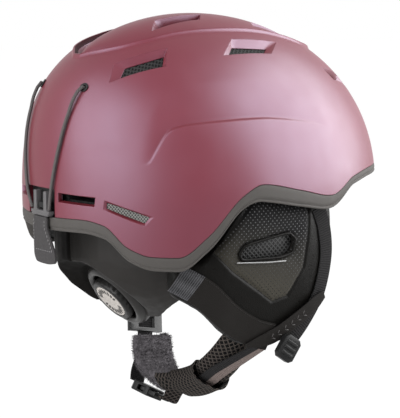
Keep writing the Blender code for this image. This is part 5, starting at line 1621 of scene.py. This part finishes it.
@dataclass
class GoggleKeeper:
    """Catch plate, eyelets, hook, pull tab and elastic cords at the back."""

    eyelet_share: float = 0.72
    cord_radius: float = 1.2 * MM
    standoff: float = 1.9 * MM
    flange: float = 4.8 * MM
    flange_wall: float = 0.9 * MM
    hook_middle: float = -3.5 * MM
    cord_end: float = 11.2 * MM
    cord_foot: float = -7.6 * MM
    tab_top: float = -11.9 * MM
    tab_foot: float = -45.6 * MM
    tab_back: float = 124.6 * MM
    tab_half_top: float = 9.5 * MM
    tab_half_foot: float = 15 * MM
    tab_lean: float = 4 * MM
    tab_lean_start: float = -20 * MM
    tab_lean_run: float = 22 * MM
    tab_thickness: float = 2.2 * MM
    tab_fold: float = 0.74
    tab_round: float = 0.86
    stitch: tuple = (1.2 * MM, 0.4 * MM, 0.45 * MM)

    def build(self) -> None:
        """Models and dresses the keeper."""
        Bench.carry("strap_catch", PLASTIC, 0.4 * MM)
        for hand in Hand:
            eyelet = Bench.carry(f"cord_eyelet_{hand.label}", PLASTIC, 0.2 * MM)
            places = Bench.points(eyelet)
            centre = np.array(Shell.eyelet(hand))
            out = np.array(DOME.normal(Vector(centre)))
            off = places - centre
            rise = np.outer(off @ out, out)
            Bench.put(eyelet, centre + rise + self.eyelet_share * (off - rise))
            self.cord(hand)
        Bench.carry("strap_hook", GREY_PLASTIC, 0.9 * MM, 40, 3)
        self.tab()

    def route(self, hand: Hand) -> list[Vector]:
        """Centre line of a cord from its eyelet to the hook."""
        centre = Shell.eyelet(hand)
        normal = DOME.normal(centre)
        start, top = abs(centre.x), Shell.eyelet_height
        fall = ((top, start), (top * 0.55, start * 0.86), (top * 0.1, start * 0.6),
                (self.cord_foot, self.cord_end + hand.value * self.hook_middle))
        first = top - 2 * self.cord_radius
        rise = self.flange_wall + self.cord_radius + 0.6 * MM
        settle = ((first - 3 * self.flange, self.standoff), (first - self.flange, rise), (first, rise))
        points = [centre + normal * 0.1 * MM, centre + normal * self.standoff]
        foot = self.cord_foot + 0.9 * MM
        for i in range(40):
            z = first + (foot - first) * i / 39
            points.append(DOME.rear(hand.value * eased(fall, z), z, -eased(settle, z)))
        return points

    def cord(self, hand: Hand) -> Piece:
        """Braided elastic cord.

        Args:
            hand: Side of the wearer.

        Returns:
            The cord.
        """
        path = self.route(hand)
        sides = 12
        lap = 2 * math.pi * self.cord_radius / sides
        item = Bench.tube(f"cord_braided_{hand.label}", path, self.cord_radius, sides, lap)
        Bench.give(item, CORD, f"elastic_cord_{hand.label}")
        return item

    def tab(self) -> Piece:
        """Leather pull tab with rounded corners, a folded foot and rows of stitches."""
        bpy.ops.object.select_all(action="DESELECT")
        bpy.ops.mesh.primitive_cube_add(size=2)
        item = bpy.context.active_object
        item.name = "pull_tab_leather"
        Bench.edit(item, lambda: bpy.ops.mesh.subdivide(number_cuts=15))
        places = Bench.points(item)
        drop = (1 - places[:, 2]) / 2
        height = self.tab_foot - self.tab_top
        round_off = np.clip((drop - self.tab_round) / (1 - self.tab_round), 0, 1)
        half = self.tab_half(drop) * (1 - 0.16 * round_off ** 2.5)
        fold = 1 + 0.35 * np.clip((drop - self.tab_fold) / 0.06, 0, 1)
        pillow = 1 - 0.35 * np.abs(places[:, 0]) ** 8
        x = self.hook_middle + places[:, 0] * half
        z = self.tab_top + height * (drop - 0.03 * round_off * np.abs(places[:, 0]) ** 3)
        y = self.tab_back + self.tab_thickness * ((places[:, 1] + 1) / 2) * fold * pillow - self.lean(z)
        Bench.put(item, np.stack([x, y, z], 1))
        Bench.apply(item, "SUBSURF", levels=1, render_levels=1)
        Bench.smooth(item, 60)
        Bench.give(item, LEATHER, "pull_tab")
        self.stitches()
        return item

    def lean(self, z: np.ndarray) -> np.ndarray:
        """How far the tab hangs in under the trim at a height."""
        return self.tab_lean * np.clip((self.tab_lean_start - z) / self.tab_lean_run, 0, 1)

    def tab_half(self, drop: np.ndarray) -> np.ndarray:
        """Half width of the tab at a share of its drop."""
        return self.tab_half_top + (self.tab_half_foot - self.tab_half_top) * np.clip(1.9 * drop - 0.4, 0, 1)

    def stitches(self) -> Piece:
        """Rows of stitches down both edges of the tab and across above its fold."""
        face = self.tab_back + self.tab_thickness
        spots = []
        height = self.tab_foot - self.tab_top
        for k in range(9):
            drop = 0.1 + 0.6 * k / 8
            for sign in (-1, 1):
                across = sign * (self.tab_half(drop) - 2 * MM)
                spots.append((self.hook_middle + across, self.tab_top + height * drop, 90))
        for k in range(7):
            spots.append((self.hook_middle + 3.2 * MM * (k - 3), self.tab_top + height * 0.72, 0))
        places = []
        for x, z, turn in spots:
            place = Matrix.Translation((x, face - 0.05 * MM - self.lean(z), z))
            turned = Matrix.Rotation(math.radians(turn), 4, "Y")
            places.append(place @ turned @ Matrix.Diagonal((*self.stitch, 1)))
        return Bench.studs("tab_stitching", places, THREAD, "hook")


@dataclass
class ChinStrap:
    """Chin pad with fleece inside and a knit sleeve outside, webbing, adjuster and buckle.

    Lines go by percent of the half width between the ear covers, distance behind the middle and height.
    """

    half: float = 82.53
    pad_line: tuple = ((-76, -4, -101), (-63, -2, -114.5), (-43, -1, -129), (-18, -2, -141),
                       (10, -3.5, -148.5), (36, -4, -152.5), (60, -5, -147), (75, -7, -137),
                       (80, -8.5, -123.5))
    pad_lies: tuple = ((0, 0.8, 0.55), (0, 0.75, 0.65), (0, 0.75, 0.65), (0, 0.75, 0.65), (0, 0.8, 0.6),
                       (0, 0.9, 0.45), (0, 1, 0.2), (0, 1, 0.1), (0, 1, 0.1))
    pad_widths: tuple = ((0, 25), (0.5, 27), (0.8, 34), (1, 34))
    pad_belly: tuple = ((0.5, 0), (0.62, 3.5), (0.78, 4.5), (0.9, 2), (1, 0))
    pad_thickness: float = 9 * MM
    pad_stations: int = 17
    webbing_width: float = 13 * MM
    webbing_thickness: float = 1.5 * MM
    bond: float = 2.1 * MM
    right_start: tuple = (-95, -9, -107.5)
    right_lie: tuple = (0, 1, 0.2)
    sleeve_steps: tuple = (4, 5, 6, 7, 8, 9)
    sleeve_ends: tuple = (0.29, 0.55)
    mouth_flare: float = 4.0
    left_line: tuple = ((100, -12, -106.8), (96.5, -10.4, -115.5), (93, -8.8, -124.2), (89.5, -7.2, -132.9),
                        (88, -3.5, -143), (85, 1.5, -152), (81.3, 4.7, -158.8))
    left_lies: tuple = ((0, 1, 0.1),) * 5 + ((0, 1, 0.2), (0, 0.9, 0.45))
    buckle_start: tuple = (78, 6, -161)
    buckle_end: tuple = (44, -1, -167)
    buckle_lie: tuple = (0, 0.9, 0.45)
    tongue_end: float = 28.5 * MM
    tongue_run: float = 6 * MM
    webbing_stations: int = 60
    sleeve_station: int = 20
    fibre_count: int = 9000
    fibre_half: float = 0.14 * MM
    fibre_length: tuple = (1.3, 1.6)

    def build(self) -> None:
        """Models and dresses the chin strap."""
        self.pad()
        line, lies = self.right_route()
        right = self.ribbon("chin_webbing_right", line, lies)
        Bench.coat(right, BROWN_WEBBING, WEBBING, SLEEVE)
        for face in right.data.polygons:
            station, facet = divmod(face.index, BAND_RING)
            face.material_index = 2 if station > self.sleeve_station else int(3 <= facet <= 9)
        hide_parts("chin_webbing_right")
        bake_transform(right)
        LOG.info("%s: %d faces, %s", right.name, len(right.data.polygons), BROWN_WEBBING.name)
        left = self.ribbon("chin_webbing_left", self.placed(self.left_line), self.left_lies)
        Bench.give(left, WEBBING, "chin_webbing_left")
        for node in ("buckle_socket", "buckle_tongue"):
            Bench.carry(node, PLASTIC, 0.5 * MM, 40, 3)
        Bench.carry("strap_glide", GLIDE, 0.5 * MM, 40, 3)

    def placed(self, points: Sequence[tuple[float, float, float]]) -> list[Vector]:
        """Places in millimetres of points that go by percent of the half width."""
        return [Vector((self.half * x / 100, y, z)) for x, y, z in points]

    @staticmethod
    def sections(path: Sequence[Vector], lies: Sequence[Vector], widths: Sequence[float],
                 crowns: Sequence[Sequence[float]], across: int) -> list[Ring]:
        """Sections of a flat band along a path.

        Args:
            path: Its middle line.
            lies: Direction of its width at each point.
            widths: Its width at each point.
            crowns: Half its thickness over the width, at each point.
            across: Facets over its width.

        Returns:
            The sections, outer face first.
        """
        rings = []
        places = spread(across)
        for i, (point, lie) in enumerate(zip(path, lies)):
            along = heading(path, i).normalized()
            side = (lie - along * lie.dot(along)).normalized() * widths[i] / 2
            normal = along.cross(side).normalized()
            lower = [point + side * a - normal * t for a, t in zip(places, crowns[i])]
            upper = [point + side * a + normal * t for a, t in zip(places, crowns[i])]
            rings.append(lower + upper[::-1])
        return rings

    def ribbon(self, node: str, line: Sequence[Sequence[float]], lies: Sequence[Sequence[float]]) -> Piece:
        """Woven band along a line in millimetres.

        Args:
            node: First part of its name.
            line: Its middle line.
            lies: Direction of its width at each point of the line.

        Returns:
            The band.
        """
        count = self.webbing_stations
        places = spread(BAND_FACETS)
        crown = [self.webbing_thickness / 2 * (SELVEDGE if abs(a) == 1 else 1.0) for a in places]
        rings = self.sections(smooth_path(line, count), smooth_path(lies, count),
                              [self.webbing_width] * count, [crown] * count, BAND_FACETS)
        chart = [a * self.webbing_width / 2 for a in places]
        item = Bench.skin(f"{node}_woven", rings, chart + chart[::-1])
        Bench.smooth(item, 50)
        return item

    def right_route(self) -> tuple[list[Vector], list[Vector]]:
        """Line of the right webbing, under the pad and out to the buckle, in millimetres, and how it lies."""
        count = self.pad_stations
        path, pad_lies = smooth_path(self.placed(self.pad_line), count), smooth_path(self.pad_lies, count)
        rings = self.sections(path, pad_lies, [20 * MM] * count, [[self.pad_thickness / 2] * 2] * count, 1)
        under = (self.pad_thickness + self.webbing_thickness + self.bond) / 2
        line, lies = self.placed((self.right_start,)), [Vector(self.right_lie)]
        for k in self.sleeve_steps:
            low, high = rings[k][0] + rings[k][1], rings[k][2] + rings[k][3]
            line.append((path[k] + (low - high).normalized() * under) / MM)
            lies.append((rings[k][1] - rings[k][0]).normalized())
        start, end = self.placed((self.buckle_start, self.buckle_end))
        for run in (self.tongue_run, 0):
            line.append(start + (end - start).normalized() * (self.tongue_end + run) / MM)
            lies.append(Vector(self.buckle_lie).normalized())
        return line, lies

    def pad(self) -> Piece:
        """Padded chin band: knit sleeve outside, fleece inside with loose fibres."""
        count, across = 110, 12
        path = smooth_path(self.placed(self.pad_line), count)
        lies = smooth_path(self.pad_lies, count)
        places = spread(across)
        crowns, widths = [], []
        for i in range(count):
            plump = 0.55 + 0.45 * min(1.0, min(i, count - 1 - i) / 6) ** 0.5
            lump = 1 + 0.06 * math.sin(0.9 * i) + 0.05 * math.sin(2.3 * i + 1)
            crowns.append([(1 - abs(a) ** 2.6 * 0.7) * plump * lump * self.pad_thickness / 2 for a in places])
            widths.append(eased(self.pad_widths, i / (count - 1)) * MM * (0.9 + 0.1 * plump))
        rings = self.sections(path, lies, widths, crowns, across)
        for i, ring in enumerate(rings):
            belly = eased(self.pad_belly, i / (count - 1)) * MM
            for k, a in enumerate(places):
                ring[k] += (ring[k] - ring[-1 - k]).normalized() * belly * (1 - a * a)
        chart = [a * 13.5 * MM for a in places]
        item = Bench.skin("chin_pad_cover", rings, chart + chart[::-1])
        Bench.dress(item, SLEEVE, FLEECE)
        middles = np.array(path)
        first, last = (round(share * (count - 1)) for share in self.sleeve_ends)
        for face in item.data.polygons:
            near = int(np.argmin(((middles - np.array(face.center)) ** 2).sum(1)))
            inward = heading(path, near).cross(lies[near]).normalized()
            face.material_index = int(near > last + 10 or near > last and face.normal.dot(inward) > 0.05)
        self.sleeve(path[first:last + 1], lies[first:last + 1], widths[first:last + 1])
        Bench.smooth(item, 70)
        Bench.give(item, SLEEVE, "chin_pad")
        self.fibres(item)
        return item

    def sleeve(self, path: Sequence[Vector], lies: Sequence[Vector], widths: Sequence[float]) -> Piece:
        """Knit sleeve round the pad and the webbing, with an open mouth.

        Args:
            path: Middle line of the pad inside it.
            lies: Direction of the pad's width at each point.
            widths: The pad's width at each point.

        Returns:
            The sleeve.
        """
        turns = 28
        last = len(path) - 1

        def ring(i: int, shrink: float) -> Ring:
            """Section at a point, drawn in by a distance."""
            along = heading(path, i).normalized()
            side = (lies[i] - along * lies[i].dot(along)).normalized()
            normal = along.cross(side)
            flare = self.mouth_flare * max(0.0, 1 - i / 9) ** 2
            close = max(0.0, 1 - (last - i) / 3)
            half = self.pad_thickness / 2
            wide = widths[i] / 2 + (0.9 + 0.3 * flare) * MM - shrink - 2 * MM * close
            inner = half + 0.5 * MM - shrink - 1.2 * MM * close
            outer = half + self.bond + self.webbing_thickness + (0.5 + flare) * MM - shrink - 3 * MM * close
            points = []
            for angle in circle(turns):
                c, s = (math.copysign(abs(v) ** 0.7, v) for v in (math.cos(angle), math.sin(angle)))
                points.append(path[i] + side * wide * c + normal * s * (inner if s > 0 else outer))
            return points

        rings = [ring(7, MM), ring(0, MM)] + [ring(i, 0.0) for i in range(last + 1)]
        item = Bench.skin("chin_sleeve_knit", rings, [2.6 * MM * k for k in range(turns + 1)])
        Bench.dress(item, SLEEVE, LINING)
        for face in item.data.polygons:
            face.material_index = int(face.index < turns or face.index == len(item.data.polygons) - 2)
        Bench.smooth(item, 55)
        return Bench.give(item, SLEEVE, body="helmet")

    def fibres(self, pad: Piece) -> Piece:
        """Loose fibres that stand out of the fleece.

        Args:
            pad: The chin pad.

        Returns:
            The fibres.
        """
        chance = np.random.default_rng(7)
        faces = [f for f in pad.data.polygons if f.material_index == 1]
        areas = np.array([f.area for f in faces])
        picks = chance.choice(len(faces), size=self.fibre_count, p=areas / areas.sum())
        shortest, longer = self.fibre_length
        verts, quads = [], []
        for pick in picks:
            face = faces[pick]
            corners = [pad.data.vertices[i].co for i in face.vertices]
            u, v = chance.random(2)
            root = corners[0].lerp(corners[1], u).lerp(corners[3].lerp(corners[2], u), v)
            lean = (face.normal + Vector(chance.normal(0, 0.55, 3))).normalized()
            side = lean.cross(Vector(chance.normal(0, 1, 3))).normalized() * self.fibre_half
            length = (shortest + longer * chance.random()) * MM
            bend = Vector(chance.normal(0, 0.4, 3)) * length
            at = len(verts)
            knee = root + lean * length * 0.6
            tip = root + lean * length + bend * 0.5
            verts += [root - side, root + side, knee + side * 0.8, knee - side * 0.8, tip]
            quads += [(at, at + 1, at + 2, at + 3), (at + 3, at + 2, at + 4)]
        mesh = bpy.data.meshes.new("chin_fleece_fibres")
        mesh.from_pydata([tuple(v) for v in verts], [], quads)
        return Bench.give(Bench.add("chin_fleece_fibres", mesh), FLEECE, body="helmet")


@dataclass
class Studio:
    """Floor, light and camera."""

    eye: tuple = (-1.0861, 0.7053, 0.1533)
    aim: tuple = (0.82809, -0.5453, -0.13002)
    lens: float = 152.42
    left_lamp: tuple = (-0.17, 0.91, 0.37)
    left_power: float = 43.0
    left_size: float = 1.4
    right_lamp: tuple = (-0.47, -0.78, 0.40)
    right_power: float = 60.0
    right_size: float = 1.35
    reach: float = 1.2
    lamp_rise: float = 0.03
    fill: float = 0.05
    floor_grey: float = 0.9
    floor_glow: float = 1.03
    floor_share: float = 0.97

    def build(self) -> None:
        """Sets up the studio."""
        scene = bpy.context.scene
        scene.view_settings.view_transform = "Standard"
        self.floor()
        self.world()
        self.lamp("left_softbox", self.left_lamp, self.left_power, self.left_size)
        self.lamp("right_softbox", self.right_lamp, self.right_power, self.right_size)
        data = bpy.data.cameras.new("camera")
        data.lens = self.lens
        data.sensor_width = 36
        data.clip_start, data.clip_end = 0.05, 50
        camera = Bench.add("camera", data)
        camera.location = self.eye
        camera.rotation_euler = Vector(self.aim).to_track_quat("-Z", "Y").to_euler()
        scene.camera = camera

    @staticmethod
    def seen(g: Graph) -> Socket:
        """1 for what the camera sees, also in gloss and through clear things."""
        rays = g.node("ShaderNodeLightPath").outputs
        straight = g.math("MAXIMUM", rays["Is Camera Ray"], rays["Is Glossy Ray"])
        return g.math("MAXIMUM", straight, rays["Is Transmission Ray"])

    def floor(self) -> None:
        """Pale plain floor under the strap."""
        bpy.ops.object.select_all(action="DESELECT")
        bpy.ops.mesh.primitive_plane_add(size=12, location=(0, 0, CAD_BOX[0].z - MM))
        floor = bpy.context.active_object
        floor.name = "floor"
        g = Graph(bpy.data.materials.new("floor_pale"))
        g.set("Base Color", grey(self.floor_grey))
        g.set("Roughness", 0.9)
        glow = g.node("ShaderNodeEmission", {"Strength": self.floor_glow}).outputs[0]
        share = g.math("MULTIPLY", self.seen(g), self.floor_share)
        mixed = g.node("ShaderNodeMixShader", {0: share, 1: g.shader.outputs[0], 2: glow})
        g.feed(g.tree.nodes["Material Output"].inputs["Surface"], mixed.outputs[0])
        floor.data.materials.append(g.owner)

    def world(self) -> None:
        """White to the eye, with a soft even light on the object."""
        g = Graph(bpy.data.worlds.new("studio"), "Background")
        bpy.context.scene.world = g.owner
        g.set("Color", grey(1.0))
        g.set("Strength", g.range(self.seen(g), 0.0, 1.0, self.fill, 1.0))

    def lamp(self, name: str, direction: tuple, power: float, size: float) -> None:
        """Softbox that faces the helmet from a direction."""
        data = bpy.data.lights.new(name, "AREA")
        data.energy = power
        data.shape = "RECTANGLE"
        data.size = data.size_y = size
        item = Bench.add(name, data)
        item.location = Vector(direction) * self.reach + Vector((0, 0, self.lamp_rise))
        item.rotation_euler = (-Vector(direction)).to_track_quat("-Z", "Y").to_euler()


def main() -> None:
    """Builds the pieces in order."""
    logging.basicConfig(level=logging.INFO, format="%(name)s: %(message)s")
    Shell().build()
    Trim().build()
    Liner().build()
    for hand in Hand:
        EarSide(hand).build()
    FitSystem().build()
    GoggleKeeper().build()
    ChinStrap().build()
    Studio().build()


if __name__ == "__main__":
    main()
